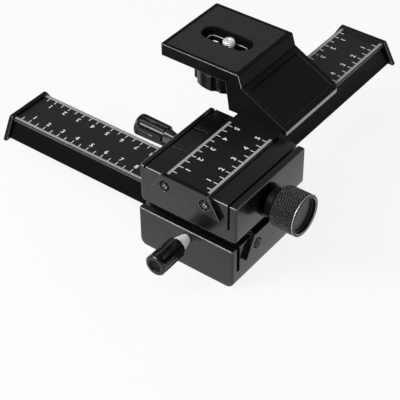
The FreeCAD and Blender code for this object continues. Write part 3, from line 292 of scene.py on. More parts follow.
def edit(piece):
    take(piece)
    bpy.ops.object.mode_set(mode="EDIT")
    bpy.ops.mesh.select_mode(type="VERT")
    bpy.ops.mesh.select_all(action="DESELECT")


def leave_edit():
    bpy.ops.object.mode_set(mode="OBJECT")


def face_outwards():
    """In edit mode, turns all faces of a closed shell outwards."""
    bpy.ops.mesh.select_all(action="SELECT")
    bpy.ops.mesh.normals_make_consistent(inside=False)


def pick(piece, kind, wanted):
    """In edit mode, selects the faces, edges or vertices that pass a test."""
    bpy.ops.mesh.select_mode(type={"faces": "FACE", "edges": "EDGE", "verts": "VERT"}[kind])
    bpy.ops.mesh.select_all(action="DESELECT")
    shape = bmesh.from_edit_mesh(piece.data)
    for element in getattr(shape, kind):
        if wanted(element):
            element.select_set(True)
    bmesh.update_edit_mesh(piece.data)


def in_order(piece):
    """In edit mode, orders edges and faces by their corners, as extruding leaves it to chance."""
    shape = bmesh.from_edit_mesh(piece.data)
    shape.verts.index_update()

    def rank(element):
        corners = [v.index for v in element.verts]
        return max(corners) * len(shape.verts) + min(corners)

    for elements in (shape.edges, shape.faces):
        elements.sort(key=rank)
    bmesh.update_edit_mesh(piece.data)


def settle(piece, matrix=None):
    """Puts a piece's place into its mesh, so that its object lies at the origin."""
    take(piece)
    if matrix is not None:
        piece.matrix_world = matrix
    bpy.ops.object.transform_apply(location=True, rotation=True, scale=True)


def joined(name, pieces):
    take(pieces[0])
    for piece in pieces:
        piece.select_set(True)
    bpy.ops.object.join()
    whole = bpy.context.object
    whole.name = name
    return whole


def copy_of(piece, matrix):
    """A copy with its own mesh, moved by a matrix."""
    mesh = piece.data.copy()
    mesh.transform(matrix)
    return new_piece(piece.name, mesh)


def discard(*pieces):
    for piece in pieces:
        bpy.data.objects.remove(piece)


def coat(piece, *materials):
    """Gives a piece its finishes; the first covers it, unless its faces already name another."""
    if piece.data.materials:
        piece.data.materials.clear()
    for material in materials:
        piece.data.materials.append(material)


def paint_nodes(nodes, material):
    """Gives nodes that are shown as they are their finish."""
    for node in nodes:
        coat(NODES[node], material)


def shown_for(piece, node):
    """Shows a finished piece in the place of its node."""
    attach(piece, BODY_OF[node])
    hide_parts(node)


def smooth(piece, corner):
    """Shades a piece smooth, but for corners sharper than so many degrees."""
    take(piece)
    bpy.ops.object.shade_smooth_by_angle(angle=math.radians(corner))


def modified(piece, kind, **settings):
    """Gives a piece a modifier and applies it."""
    take(piece)
    modifier = piece.modifiers.new(kind.lower(), kind)
    for key, value in settings.items():
        setattr(modifier, key, value)
    bpy.ops.object.modifier_apply(modifier=modifier.name)


def rounded(piece, wanted, width, segments=ROUND_STEPS, finish=-1):
    """Rounds the edges that pass a test; the new faces may take another of the finishes."""
    edit(piece)
    pick(piece, "edges", wanted)
    bpy.ops.mesh.bevel(offset=width, segments=segments, clamp_overlap=False, material=finish)
    leave_edit()


def soften(piece, width, segments, corner, finish):
    """Breaks all sharp edges of a piece."""
    smooth(piece, corner)
    modified(
        piece,
        "BEVEL",
        width=width,
        segments=segments,
        limit_method="ANGLE",
        angle_limit=math.radians(corner),
        harden_normals=True,
        use_clamp_overlap=False,
        material=finish,
    )


def merged_copy(node):
    """A copy of a node as one mesh of flat faces."""
    piece = new_piece(f"{node}_finished", NODES[node].data.copy())
    edit(piece)
    bpy.ops.mesh.select_all(action="SELECT")
    bpy.ops.mesh.remove_doubles(threshold=MERGE_DISTANCE)
    bpy.ops.mesh.dissolve_limited(angle_limit=math.radians(FLAT))
    leave_edit()
    if piece.data.has_custom_normals:
        bpy.ops.mesh.customdata_custom_splitnormals_clear()
    return piece


def dressed(
    node, width, finishes, segments=2, corner=MACHINED_CORNER, rounds=(), patches=(), worn=True
):
    """Shows a copy of a node with broken edges in its place.

    Each of rounds is a test for edges that are rounded more, and their width. Each of patches
    is a test for faces with a finish of their own, and those are the last of the finishes, in
    the same order. A second finish before them goes on the rounded edges, and on all the broken
    ones where they are worn.
    """
    piece = merged_copy(node)
    coat(piece, *finishes)
    first_patch = len(finishes) - len(patches)
    edge_finish = 1 if first_patch > 1 else -1
    for wanted, round_width in rounds:
        rounded(piece, wanted, round_width, finish=edge_finish)
    soften(piece, width, segments, corner, edge_finish if worn else -1)
    for index, wanted in enumerate(patches, start=first_patch):
        for face in piece.data.polygons:
            if wanted(face):
                face.material_index = index
    shown_for(piece, node)


def turned(name, stations, segments):
    """A closed turned piece on the Z axis, drawn out from ring to ring.

    Each station is a ring's radius and height.
    """
    radius, height = stations[0]
    ring = {"vertices": segments, "radius": radius, "location": (0, 0, height)}
    piece = added(bpy.ops.mesh.primitive_circle_add, name, fill_type="NGON", **ring)
    settle(piece)
    edit(piece)
    bpy.ops.mesh.select_all(action="SELECT")
    for next_radius, next_height in stations[1:]:
        rise = (0, 0, next_height - height)
        bpy.ops.mesh.extrude_edges_move(TRANSFORM_OT_translate={"value": rise})
        ratio = next_radius / radius
        bpy.ops.transform.resize(value=(ratio, ratio, 1), center_override=(0, 0, next_height))
        radius, height = next_radius, next_height
    in_order(piece)
    bpy.ops.mesh.edge_face_add()
    face_outwards()
    leave_edit()
    return piece


def near(radius, height, *steps):
    """Stations beside a radius and a height, each step so many millimetres out and up."""
    return [(radius + out * MM, height + up * MM) for out, up in steps]


# ---------------------------------------------------------------- shader helpers


def both_ways(operation):
    """An operator that adds a maths node, and its reflected form."""

    def forward(self, other):
        return self.maths(operation, self, other)

    def reflected(self, other):
        return self.maths(operation, other, self)

    return forward, reflected


class Shade:
    """A socket of a material; ordinary operators on it add maths nodes."""

    __add__, __radd__ = both_ways("ADD")
    __sub__, __rsub__ = both_ways("SUBTRACT")
    __mul__, __rmul__ = both_ways("MULTIPLY")
    __truediv__, __rtruediv__ = both_ways("DIVIDE")
    __pow__, __rpow__ = both_ways("POWER")

    def __init__(self, finish, socket):
        self.finish = finish
        self.socket = socket

    def maths(self, operation, *values):
        settings = {"operation": operation}
        return self.finish.add("ShaderNodeMath", settings, dict(enumerate(values)))["Value"]

    def sine(self):
        return self.maths("SINE", self)

    def clamped(self):
        return self.maths("MAXIMUM", self.maths("MINIMUM", self, 1.0), 0.0)


class Placed:
    """A node in a material; its outputs are read by name."""

    def __init__(self, finish, node):
        self.finish = finish
        self.node = node

    def __getitem__(self, name):
        return Shade(self.finish, self.node.outputs[name])


class Nodes:
    """A node tree that is filled from Python expressions."""

    def __init__(self, tree):
        self.tree = tree

    def add(self, kind, settings=None, values=None):
        """Adds a node: its settings first, then the values or links of its sockets."""
        node = self.tree.nodes.new(kind)
        for key, value in (settings or {}).items():
            if key == "stops":
                for stop, (position, level) in zip(node.color_ramp.elements, value):
                    stop.position = position
                    stop.color = (level, level, level, 1)
            else:
                setattr(node, key, value)
        for key, value in (values or {}).items():
            self.feed(node.inputs[key], value)
        return Placed(self, node)

    def feed(self, socket, value):
        if isinstance(value, Shade):
            self.tree.links.new(value.socket, socket)
        elif hasattr(value, "__len__") and len(value) == 3 and socket.type == "RGBA":
            socket.default_value = (*value, 1)
        else:
            socket.default_value = value

    def existing(self, kind):
        return next(node for node in self.tree.nodes if node.type == kind)

    def seen(self):
        """One for a ray from the camera, or through or off a polished surface."""
        path = self.add("ShaderNodeLightPath")
        rays = path["Is Camera Ray"] + path["Is Glossy Ray"] + path["Is Transmission Ray"]
        return rays.clamped()


class Finish(Nodes):
    """A material with a Principled shader that is filled in by name."""

    def __init__(self, name, **constants):
        self.material = bpy.data.materials.new(name)
        self.material.use_nodes = True
        super().__init__(self.material.node_tree)
        self.shader = self.existing("BSDF_PRINCIPLED")
        self.fill(**constants)

    def fill(self, **values):
        """Sets the shader's sockets; an underscore stands for a space in their names."""
        for name, value in values.items():
            self.feed(self.shader.inputs[name.replace("_", " ")], value)

    def place(self):
        """Object coordinates."""
        return self.add("ShaderNodeTexCoord")["Object"]

    def axes(self):
        """The three object coordinates, in metres."""
        split = self.add("ShaderNodeSeparateXYZ", None, {0: self.place()})
        return split["X"], split["Y"], split["Z"]

    def stretched(self, scale):
        """Object coordinates, multiplied axis by axis."""
        values = {"Vector": self.place(), "Scale": scale}
        return self.add("ShaderNodeMapping", None, values)["Vector"]

    def noise(self, scale, detail=2.0, roughness=0.5, place=None):
        values = {"Vector": place or self.place(), "Scale": scale}
        values |= {"Detail": detail, "Roughness": roughness}
        return self.add("ShaderNodeTexNoise", None, values)["Fac"]

    def blend(self, mask, low, high):
        """A colour between two, by a mask."""
        settings = {"data_type": "RGBA", "blend_type": "MIX"}
        return self.add("ShaderNodeMix", settings, {0: mask, 6: low, 7: high})[2]

    def shades(self, mask, levels, low, high):
        """A colour between a darker and a lighter shade of itself, by a mask."""
        return self.blend(mask, scaled(levels, low), scaled(levels, high))

    def surface(self, colours, roughness, height, depth, strength=1.0):
        """Gives the shader what varies over a surface, with a bump in metres; the material."""
        values = {"Height": height, "Distance": depth, "Strength": strength}
        bump = self.add("ShaderNodeBump", None, values)["Normal"]
        self.fill(Base_Color=colours, Roughness=roughness, Normal=bump)
        return self.material


def scaled(levels, ratio):
    return tuple(level * ratio for level in levels)


def paint_finish(name, levels, roughness, grain=FAINT, specular=0.5):
    """Sprayed or cast black: fine grain, slow cloudiness and an uneven gloss."""
    finish = Finish(name, Specular_IOR_Level=specular)
    clouds = finish.noise(60, 3)
    fine = finish.noise(2600, 2)
    return finish.surface(
        finish.shades(clouds, levels, 0.8, 1.25),
        (roughness - 0.06) + clouds * 0.08 + fine * 0.06,
        fine,
        grain,
    )


def worn_finish(name, levels, specular=1.0):
    """Edges rubbed thin: the paint's gloss with bare metal showing through in places."""
    finish = Finish(name, Specular_IOR_Level=specular)
    wear = finish.noise(420, 4, 0.65)
    return finish.surface(
        finish.shades(wear, levels, 0.35, 1.7), 0.16 + wear * 0.12, wear, LIGHT
    )


def anodised_finish(name, levels, along, roughness, specular):
    """Extruded and anodised: faint draw lines along the rail under a fine matt grain."""
    finish = Finish(name, Specular_IOR_Level=specular)
    scale = (40, 4000, 4000) if along == "X" else (4000, 40, 4000)
    lines = finish.noise(1, 2, place=finish.stretched(scale))
    clouds = finish.noise(45, 3)
    grain = finish.noise(3500, 1)
    return finish.surface(
        finish.shades(clouds, levels, 0.85, 1.2),
        (roughness - 0.08) + lines * 0.1 + grain * 0.08,
        lines * 0.6 + grain * 0.4,
        LIGHT,
    )


def rubber_finish(name, levels, tread_pitch):
    """Rubber with a fine square tread."""
    finish = Finish(name, Specular_IOR_Level=0.35)
    x, y, _ = finish.axes()
    turns = 2 * math.pi / tread_pitch
    tread = (x * turns).sine() * 0.5 + (y * turns).sine() * 0.5
    dust = finish.noise(300, 4)
    mask = (tread * 0.35 + 0.4 + dust * 0.3).clamped()
    return finish.surface(
        finish.shades(mask, levels, 0.55, 1.7), 0.62 + dust * 0.12, tread, 0.12 * MM, 0.8
    )


def moulding_finish(name, levels):
    """Glossy black plastic, with the faint waviness of a moulding."""
    finish = Finish(name, Specular_IOR_Level=0.38)
    waves = finish.noise(220, 2)
    scuffs = finish.noise(900, 5, 0.7)
    return finish.surface(
        finish.shades(scuffs, levels, 0.8, 1.6), 0.1 + scuffs * 0.14, waves, 0.06 * MM
    )


def metal_finish(name, levels, roughness, grain=1500, relief=FAINT, metallic=1.0):
    """Bare or plated metal with an uneven polish."""
    finish = Finish(name, Metallic=metallic)
    cloud = finish.noise(grain / 8, 3)
    fine = finish.noise(grain, 3)
    return finish.surface(
        finish.shades(cloud, levels, 0.85, 1.1), (roughness - 0.04) + fine * 0.1, fine, relief
    )


def drawn_band_finish(name, levels):
    """Bare edge of an extrusion, cut bright: fine scratches along both rails."""
    finish = Finish(name, Specular_IOR_Level=0.5)
    scratches = finish.noise(1, 4, 0.6, finish.stretched((900, 900, 3000)))
    patches = finish.noise(180, 3)
    return finish.surface(
        finish.shades(scratches * 0.7 + patches * 0.3, levels, 0.62, 1.35),
        0.4 + scratches * 0.2,
        scratches,
        LIGHT,
    )


def print_finish(name, levels):
    """White ink, a little thin in places."""
    finish = Finish(name, Specular_IOR_Level=0.3)
    thin = finish.noise(1600, 3)
    return finish.surface(
        finish.shades(thin, levels, 0.82, 1), 0.5 + thin * 0.15, thin, 0.008 * MM
    )


def nylon_finish(name, levels):
    """Machined natural nylon."""
    finish = Finish(name, Specular_IOR_Level=0.4)
    cloud = finish.noise(700, 3)
    return finish.surface(
        finish.shades(cloud, levels, 0.85, 1), 0.45 + cloud * 0.15, cloud, 0.02 * MM
    )


def knurl_finish(name, colours, middle, along, crest, worn_depth):
    """Black knurling whose points are painted bright: partly rubbed wear, partly painted
    highlight.
    """
    finish = Finish(name, Specular_IOR_Level=0.3)
    x, y, z = finish.axes()
    across = (x - middle.x) if along == "Y" else (y - middle.y)
    radius = (across**2 + (z - middle.z) ** 2) ** 0.5
    rubbed_and_highlit = ((radius - (crest - worn_depth)) / worn_depth).clamped()
    patches = finish.noise(350, 3)
    finish.fill(Metallic=rubbed_and_highlit * 0.6)
    return finish.surface(
        finish.blend(rubbed_and_highlit * (0.4 + patches * 0.6), colours.knurl, colours.crest),
        0.26 + patches * 0.08,
        finish.noise(2500, 2),
        LIGHT,
    )


# ---------------------------------------------------------------- the pieces


class Track:
    """A rail's own frame: u along it from its long end, v across it, w up from its top face."""

    def __init__(self, rail, plates, along, across):
        low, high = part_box(rail)
        self.rail = rail
        self.body = BODY_OF[rail]
        middle = (low + high) / 2
        middle.z = high.z
        reach = [Vector(corner).dot(along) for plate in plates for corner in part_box(plate)]
        self.plates_span = max(reach) - min(reach)
        self.start = middle + along * (min(reach) - middle.dot(along))
        plate = (self.plates_span - abs((high - low).dot(along))) / 2
        self.spans = [(plate, self.plates_span - plate)]
        self.turn = Matrix((along, across, UP)).transposed().to_4x4()

    def cover(self, first, last):
        """Leaves a stretch of the rail bare."""
        begin, end = self.spans[0]
        self.spans = [(begin, first), (last, end)]

    def shows(self, u):
        return any(begin < u < end for begin, end in self.spans)

    def seat(self, u, v, w=0.0, flipped=False, tilt=0):
        """Puts a piece made at the origin on the rail, or tilted on to one of its sides."""
        spin = Matrix.Rotation(math.pi if flipped else 0, 4, "Z")
        lean = Matrix.Rotation(-math.pi / 2 * tilt, 4, "X")
        spot = Matrix.Translation(self.start) @ self.turn @ Matrix.Translation((u, v, w))
        return spot @ (spin @ lean)


def tracks(foot_margin):
    """Both rails; the bracket's foot covers a part of the upper one, and a margin beside the foot
    is left without bands and marks as its painted shadow.
    """
    plates = ("lower_end_plate_left", "lower_end_plate_right")
    lower = Track("lower_rail", plates, Vector((1, 0, 0)), Vector((0, 1, 0)))
    plates = ("upper_end_plate_front", "upper_end_plate_back")
    upper = Track("upper_rail", plates, Vector((0, -1, 0)), Vector((1, 0, 0)))
    near_side, far_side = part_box("camera_bracket")
    upper.cover(upper.start.y - far_side.y, upper.start.y - near_side.y + foot_margin)
    return lower, upper


class FOCUSRAIL_OT_blocks(bpy.types.Operator):
    """Breaks the edges of both blocks and paints them"""

    bl_idname = "focusrail.blocks"
    bl_label = "Blocks"

    def execute(self, context):
        edges = context.scene.rail_edges
        colours = context.scene.rail_colours
        paint = paint_finish("block_paint", colours.block, 0.2)
        worn = worn_finish("block_edges", colours.worn)
        # Painted reflection: the lower block's underside chamfer takes this light finish in place
        # of the floor's reflection.
        pale_finish = paint_finish("base_edge", colours.base_edge, 0.3)

        def base_edge(face):
            return SLACK < face.center.z < edges.base and -0.98 < face.normal.z < -0.1

        for node, bottom, finishes, patches in (
            ("lower_block", edges.base, (paint, worn, pale_finish), [base_edge]),
            ("upper_block", edges.outline, (paint, worn), []),
        ):
            rounds = [
                (self.on_outline(node, edges.upright, True), edges.outline),
                (self.on_outline(node, edges.upright, False), bottom),
            ]
            dressed(node, edges.block, finishes, rounds=rounds, patches=patches, worn=False)
        return {"FINISHED"}

    @staticmethod
    def on_outline(node, corner, upper):
        """A test for the edges round a block's top or underside."""
        low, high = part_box(node)
        middle = (low + high) / 2
        straight = (high - low) / 2 - Vector((corner, corner, 0))
        reach = corner - 0.1 * MM

        def wanted(edge):
            first, second = (v.co for v in edge.verts)
            level = abs(first.z - second.z) < SLACK
            spot = (first + second) / 2
            outermost = (high.z - spot.z if upper else spot.z - low.z) < SLACK
            past_x = max(abs(spot.x - middle.x) - straight.x, 0)
            past_y = max(abs(spot.y - middle.y) - straight.y, 0)
            return level and outermost and math.hypot(past_x, past_y) > reach

        return wanted


class FOCUSRAIL_OT_rails(bpy.types.Operator):
    """Finishes the rails and their end plates"""

    bl_idname = "focusrail.rails"
    bl_label = "Rails and end plates"

    def execute(self, context):
        edges = context.scene.rail_edges
        colours = context.scene.rail_colours
        for node, along, gloss in (("lower_rail", "X", 0.46), ("upper_rail", "Y", 0.34)):
            side = anodised_finish(f"{node}_sides", colours.rail_side, along, 0.3, 0.05)
            top = anodised_finish(f"{node}_top", colours.rail_top, along, 0.32, gloss)
            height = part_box(node)[1].z - SLACK
            dressed(node, edges.rail, (side, top), patches=[lambda f: f.center.z > height])
        paint = paint_finish("plate_paint", colours.plate, 0.28, LIGHT)
        worn = worn_finish("plate_edges", colours.worn)
        # Painted shade on the end plates' slanted sides and tops.
        side_shade = paint_finish("plate_sides", colours.plate_side, 0.4, specular=0.15)
        for stage, ends in (("lower", ("left", "right")), ("upper", ("front", "back"))):
            for end in ends:
                node = f"{stage}_end_plate_{end}"
                dressed(node, edges.plate, (paint, worn, side_shade), patches=[self.slanted])
        return {"FINISHED"}

    @staticmethod
    def slanted(face):
        """Picks an end plate's slanted sides and its top, which take the painted shade."""
        return face.area > SMALL_AREA and abs(face.normal.z) > LEANING


class FOCUSRAIL_OT_bands(bpy.types.Operator):
    """Lays the bright bands along the rails' edges"""

    bl_idname = "focusrail.bands"
    bl_label = "Rail bands"

    def execute(self, context):
        sizes = context.scene.rail_scales
        colours = context.scene.rail_colours
        edge = context.scene.rail_edges.rail
        middle = sizes.band_outer - sizes.band_width / 2
        drop = (sizes.land_drop + edge) / 2
        height = sizes.land_drop - edge
        bright = drawn_band_finish("bright_band", colours.band)
        pale_finish = drawn_band_finish("bare_land", colours.land)
        for track in tracks(sizes.foot_margin):
            for name, finish, width, v, w, tilt in (
                ("bands", bright, sizes.band_width, middle, 0, 0),
                ("lands", pale_finish, height, sizes.land_offset, -drop, 1),
            ):
                strips = []
                for begin, end in track.spans:
                    for side in (-1, 1):
                        place = track.seat((begin + end) / 2, v * side, w, tilt=tilt * side)
                        strips.append(self.strip(end - begin, width, sizes.ink, place))
                piece = joined(f"{track.rail}_{name}", strips)
                coat(piece, finish)
                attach(piece, track.body)
        return {"FINISHED"}

    @staticmethod
    def strip(span, width, ink, place):
        """A thin strip along the rail, its upper edges broken."""
        scale = (span, width, ink * 2)
        strip = added(bpy.ops.mesh.primitive_cube_add, "strip", size=1, scale=scale)
        settle(strip)
        rounded(strip, lambda edge: all(v.co.z > 0 for v in edge.verts), ink / 2, 1)
        settle(strip, place)
        return strip


class FOCUSRAIL_OT_scales(bpy.types.Operator):
    """Prints the marks and numbers on both rails"""

    bl_idname = "focusrail.scales"
    bl_label = "Printed scales"

    def execute(self, context):
        sizes = context.scene.rail_scales
        ink = print_finish("scale_ink", context.scene.rail_colours.print)
        mark = self.mark(sizes)
        numbers = {n: self.number(sizes, n) for n in range(1, sizes.from_far_end + 1)}
        inner = sizes.band_outer - sizes.band_width - sizes.tick_length
        for track in tracks(sizes.foot_margin):
            prints = []
            for side in (-1, 1):
                for u, number in self.marks_along(sizes, track):
                    if not track.shows(u):
                        continue
                    v = (inner + sizes.tick_length / 2) * side
                    prints.append(copy_of(mark, track.seat(u, v)))
                    if number:
                        v = (inner - sizes.digit_gap) * side
                        place = track.seat(u, v, flipped=side > 0)
                        prints.append(copy_of(numbers[number], place))
            scale = joined(f"{track.rail}_scale", prints)
            coat(scale, ink)
            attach(scale, track.body)
        discard(mark, *numbers.values())
        return {"FINISHED"}

    @staticmethod
    def marks_along(sizes, track):
        """Each mark's place along the rail, and its number or nothing, counted from both ends."""
        marks = []
        per_number = 2
        for highest, from_end in ((sizes.from_far_end, False), (sizes.from_block_end, True)):
            for step in range(1, highest * per_number + 1):
                u = sizes.zero_inset + step * sizes.tick_pitch
                if from_end:
                    u = track.plates_span - u
                marks.append((u, step // per_number if step % per_number == 0 else None))
        return marks

    @staticmethod
    def mark(sizes):
        """A stroke with rounded ends, across the rail."""
        scale = (sizes.tick_width, sizes.tick_length, sizes.ink * 2)
        stroke = added(bpy.ops.mesh.primitive_cube_add, "mark", size=1, scale=scale)
        settle(stroke)
        edit(stroke)
        pick(stroke, "edges", lambda e: abs(e.verts[0].co.z - e.verts[1].co.z) > sizes.ink)
        rounding = sizes.tick_width * 0.3
        bpy.ops.mesh.bevel(offset=rounding, segments=2)
        leave_edit()
        return stroke

    @staticmethod
    def number(sizes, value):
        """A numeral, its middle at the origin."""
        numeral = added(bpy.ops.object.text_add, f"number_{value}")
        numeral.data.body = str(value)
        numeral.data.size = sizes.digit_height
        numeral.data.extrude = sizes.ink
        numeral.data.resolution_u = 3
        numeral.data.offset = sizes.digit_weight
        bpy.ops.object.convert(target="MESH")
        numeral = bpy.context.object
        corners = [v.co for v in numeral.data.vertices]
        middle = Vector(
            (min(c[axis] for c in corners) + max(c[axis] for c in corners)) / 2
            for axis in range(3)
        )
        numeral.data.transform(Matrix.Translation(-middle))
        return numeral


class FOCUSRAIL_OT_bracket(bpy.types.Operator):
    """Finishes the camera bracket and its rubber pad"""

    bl_idname = "focusrail.bracket"
    bl_label = "Camera bracket"

    def execute(self, context):
        edges = context.scene.rail_edges
        colours = context.scene.rail_colours
        finishes = (
            paint_finish("bracket_paint", colours.bracket, 0.3, specular=0.06),
            worn_finish("bracket_edges", colours.worn),
            paint_finish("rubbed_lip", colours.lip, 0.3),
            paint_finish("bare_ledge", colours.ledge, 0.3),
            paint_finish("panel_paint", colours.panel, 0.34, LIGHT, 0.1),
            # Painted shade: the broken edges round the pad's pocket and beyond the platform's
            # upper fold keep the plain dark paint, without the worn shine, for the shade they lie
            # in.
            paint_finish("pocket_rim", colours.bracket, 0.6, specular=0.02),
            worn_finish("bracket_creases", scaled(colours.worn, 0.5), 0.24),
        )
        edge_finish = 1
        low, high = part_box("camera_bracket")
        pad_low, pad_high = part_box("platform_pad")
        margin = edges.bracket * 1.5
        past_platform = pad_high.x + margin * 2

        def far_lip_corner(edge):
            return all(v.co.x > high.x - SLACK and v.co.y > high.y - SLACK for v in edge.verts)

        # Picks the lip's upright faces, which take the painted reflection.
        def lip_face(face):
            upright = abs(face.normal.z) < LEANING and face.normal.x > 0.15
            return upright and face.center.x > high.x - edges.lip_corner

        def ledge_face(face):
            height = face.center.z
            on_step = abs(height - (high.z - edges.step_drop)) < SLACK
            below_floor = high.z - edges.floor_drop - height
            on_floor_edge = 0 < below_floor < edges.bracket and 0.1 < face.normal.z < 0.95
            return (on_step and face.normal.z > FACING) or (on_floor_edge and face.center.x < 0)

        def panel_face(face):
            return face.area > LARGE_AREA and face.normal.x > 0.3 and face.normal.z > 0.3

        # Picks the worn edges in the pocket and along the upper fold, which take the painted
        # shade.
        def pocket_rim(face):
            x, y, z = face.center
            along = pad_low.x - margin < x < pad_high.x + margin
            within = along and pad_low.y - margin < y < pad_high.y + margin
            fold = x > past_platform and abs(face.normal.y) < 0.1 and z > (low.z + high.z) / 2
            return (within or fold) and face.material_index == edge_finish

        def crease(face):
            return face.material_index == edge_finish and face.center.x > past_platform

        dressed(
            "camera_bracket",
            edges.bracket,
            finishes,
            3,
            rounds=[(far_lip_corner, edges.lip_corner)],
            patches=(lip_face, ledge_face, panel_face, pocket_rim, crease),
        )
        rubber = rubber_finish("tread_rubber", colours.rubber, edges.tread_pitch)
        dressed("platform_pad", edges.screw, (rubber,), 1)
        return {"FINISHED"}


class FOCUSRAIL_OT_drive_knobs(bpy.types.Operator):
    """Turns and knurls the drive knobs"""

    bl_idname = "focusrail.drive_knobs"
    bl_label = "Drive knobs"

    def execute(self, context):
        sizes = context.scene.rail_knurl
        colours = context.scene.rail_colours
        low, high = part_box("lower_drive_knob")
        crest = (high.x - low.x) / 2
        pattern = self.knob(sizes, crest, high.y - low.y)
        hub = paint_finish("knob_hub", colours.knurl, 0.45, specular=0.12)
        for stage, along, turn in (
            ("lower", "Y", Matrix.Rotation(-math.pi / 2, 4, "X")),
            ("upper", "X", Matrix.Rotation(math.pi / 2, 4, "Y")),
        ):
            node = f"{stage}_drive_knob"
            low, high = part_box(node)
            middle = (low + high) / 2
            if along == "Y":
                start = Vector((middle.x, low.y, middle.z))
            else:
                start = Vector((low.x, middle.y, middle.z))
            knob = copy_of(pattern, Matrix.Translation(start) @ turn)
            knob.name = f"{node}_knurled"
            name = f"{stage}_knurl"
            knurl = knurl_finish(name, colours, middle, along, crest, sizes.depth / 5)
            coat(knob, knurl, worn_finish(f"{stage}_knob_rim", colours.rim), hub)
            shown_for(knob, node)
        discard(pattern)
        return {"FINISHED"}

    def knob(self, sizes, radius, full):
        """Hub, knurled body, smooth rim and dished end, standing on the Z axis."""
        body = radius - sizes.depth * 0.8
        first = sizes.hub_height + sizes.rear_rim
        last = full - sizes.front_rim
        dish_floor = full - sizes.dish_depth
        row = (last - first) / sizes.rows
        stations = [
            (sizes.bore_radius, 0),
            *near(sizes.hub_radius, 0, (-0.4, 0), (0, 0.4)),
            (sizes.hub_radius, sizes.hub_height),
            *near(radius, sizes.hub_height, (-1.2, 0)),
            *near(radius, first, (-0.2, -0.25)),
            *((body, first + row * step) for step in range(sizes.rows + 1)),
            *near(body, last, (0, 0.2)),
            *near(radius, last, (-0.1, 0.35), (0, 0.55)),
            *near(radius, full, (0, -0.5), (-0.15, -0.15), (-0.5, 0)),
            *near(sizes.dish_radius, full, (0.35, 0), (0.25, -0.05), (0, -0.35)),
            *near(sizes.dish_radius, dish_floor, (-0.15, 0.3), (-0.5, 0)),
            (sizes.bore_radius, dish_floor),
        ]
        knob = turned("knob", stations, sizes.columns * 2)
        self.knurl(knob, sizes, body, first, last)
        # The dish's rim takes the light rim finish, partly rubbed wear and partly painted
        # highlight; the hub takes its own.
        rim_inside = sizes.dish_radius - 0.1 * MM
        rim_outside = sizes.dish_radius + 0.4 * MM
        rim_foot = full - 0.35 * MM
        back = first - 0.4 * MM
        for face in knob.data.polygons:
            height = face.center.z
            if height > rim_foot and rim_inside < face.center.xy.length < rim_outside:
                face.material_index = 1
            elif height < back:
                face.material_index = 2
        smooth(knob, 24)
        return knob

    @staticmethod
    def knurl(knob, sizes, body, first, last):
        """Turns the square faces of the band into diamonds, and raises each to a point."""
        full_row = (last - first) / sizes.rows * 0.9
        tolerance = 0.05 * MM

        def in_band(element):
            return all(
                first - SLACK < v.co.z < last + SLACK
                and abs(v.co.xy.length - body) < tolerance
                for v in element.verts
            )

        def old_side(edge):
            heights = [v.co.z for v in edge.verts]
            rise = abs(heights[0] - heights[1])
            height = sum(heights) / 2
            level = rise < SLACK and first + SLACK < height < last - SLACK
            return in_band(edge) and len(edge.link_faces) == 2 and (rise > full_row or level)

        edit(knob)
        pick(knob, "faces", in_band)
        bpy.ops.mesh.poke(offset=0)
        pick(knob, "edges", old_side)
        bpy.ops.mesh.dissolve_edges(use_verts=False)
        pick(knob, "faces", in_band)
        bpy.ops.mesh.poke(offset=sizes.depth)
        leave_edit()


class FOCUSRAIL_OT_clamps(bpy.types.Operator):
    """Finishes the clamp knobs and their studs, the lower stud painted bright as a reflection and
    the upper one painted dark as shade
    """

    bl_idname = "focusrail.clamps"
    bl_label = "Clamp knobs"

    def execute(self, context):
        edges = context.scene.rail_edges
        colours = context.scene.rail_colours
        plastic = moulding_finish("clamp_plastic", colours.moulding)
        # Painted reflection and shade: the lower stud is a bright diffuse white for its chrome's
        # reflection, the upper one a dark chrome for its shade.
        zinc = metal_finish(
            "lower_clamp_zinc", colours.zinc, 0.25, grain=1100, relief=0.3 * MM, metallic=0.0
        )
        dish = paint_finish("clamp_dish", colours.moulding, 0.5, specular=0.12)
        dark_chrome = metal_finish("upper_clamp_chrome", colours.dark_chrome, 0.12)
        for stage, stud, along in (("lower", zinc, 1), ("upper", dark_chrome, 0)):
            node = f"{stage}_lock_knob"
            floor = self.dish_floor(node, along, edges.dish_depth)
            dressed(node, edges.knob, (plastic, dish), corner=MOULDED_CORNER, patches=[floor])
            dressed(f"{stage}_lock_screw", edges.screw, (stud,), corner=MOULDED_CORNER)
        return {"FINISHED"}

    @staticmethod
    def dish_floor(node, along, depth):
        """A test for the floor of the dish in a clamp knob's end."""
        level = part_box(node)[0][along] + depth

        def wanted(face):
            return abs(face.center[along] - level) < SLACK and face.normal[along] < -FACING

        return wanted


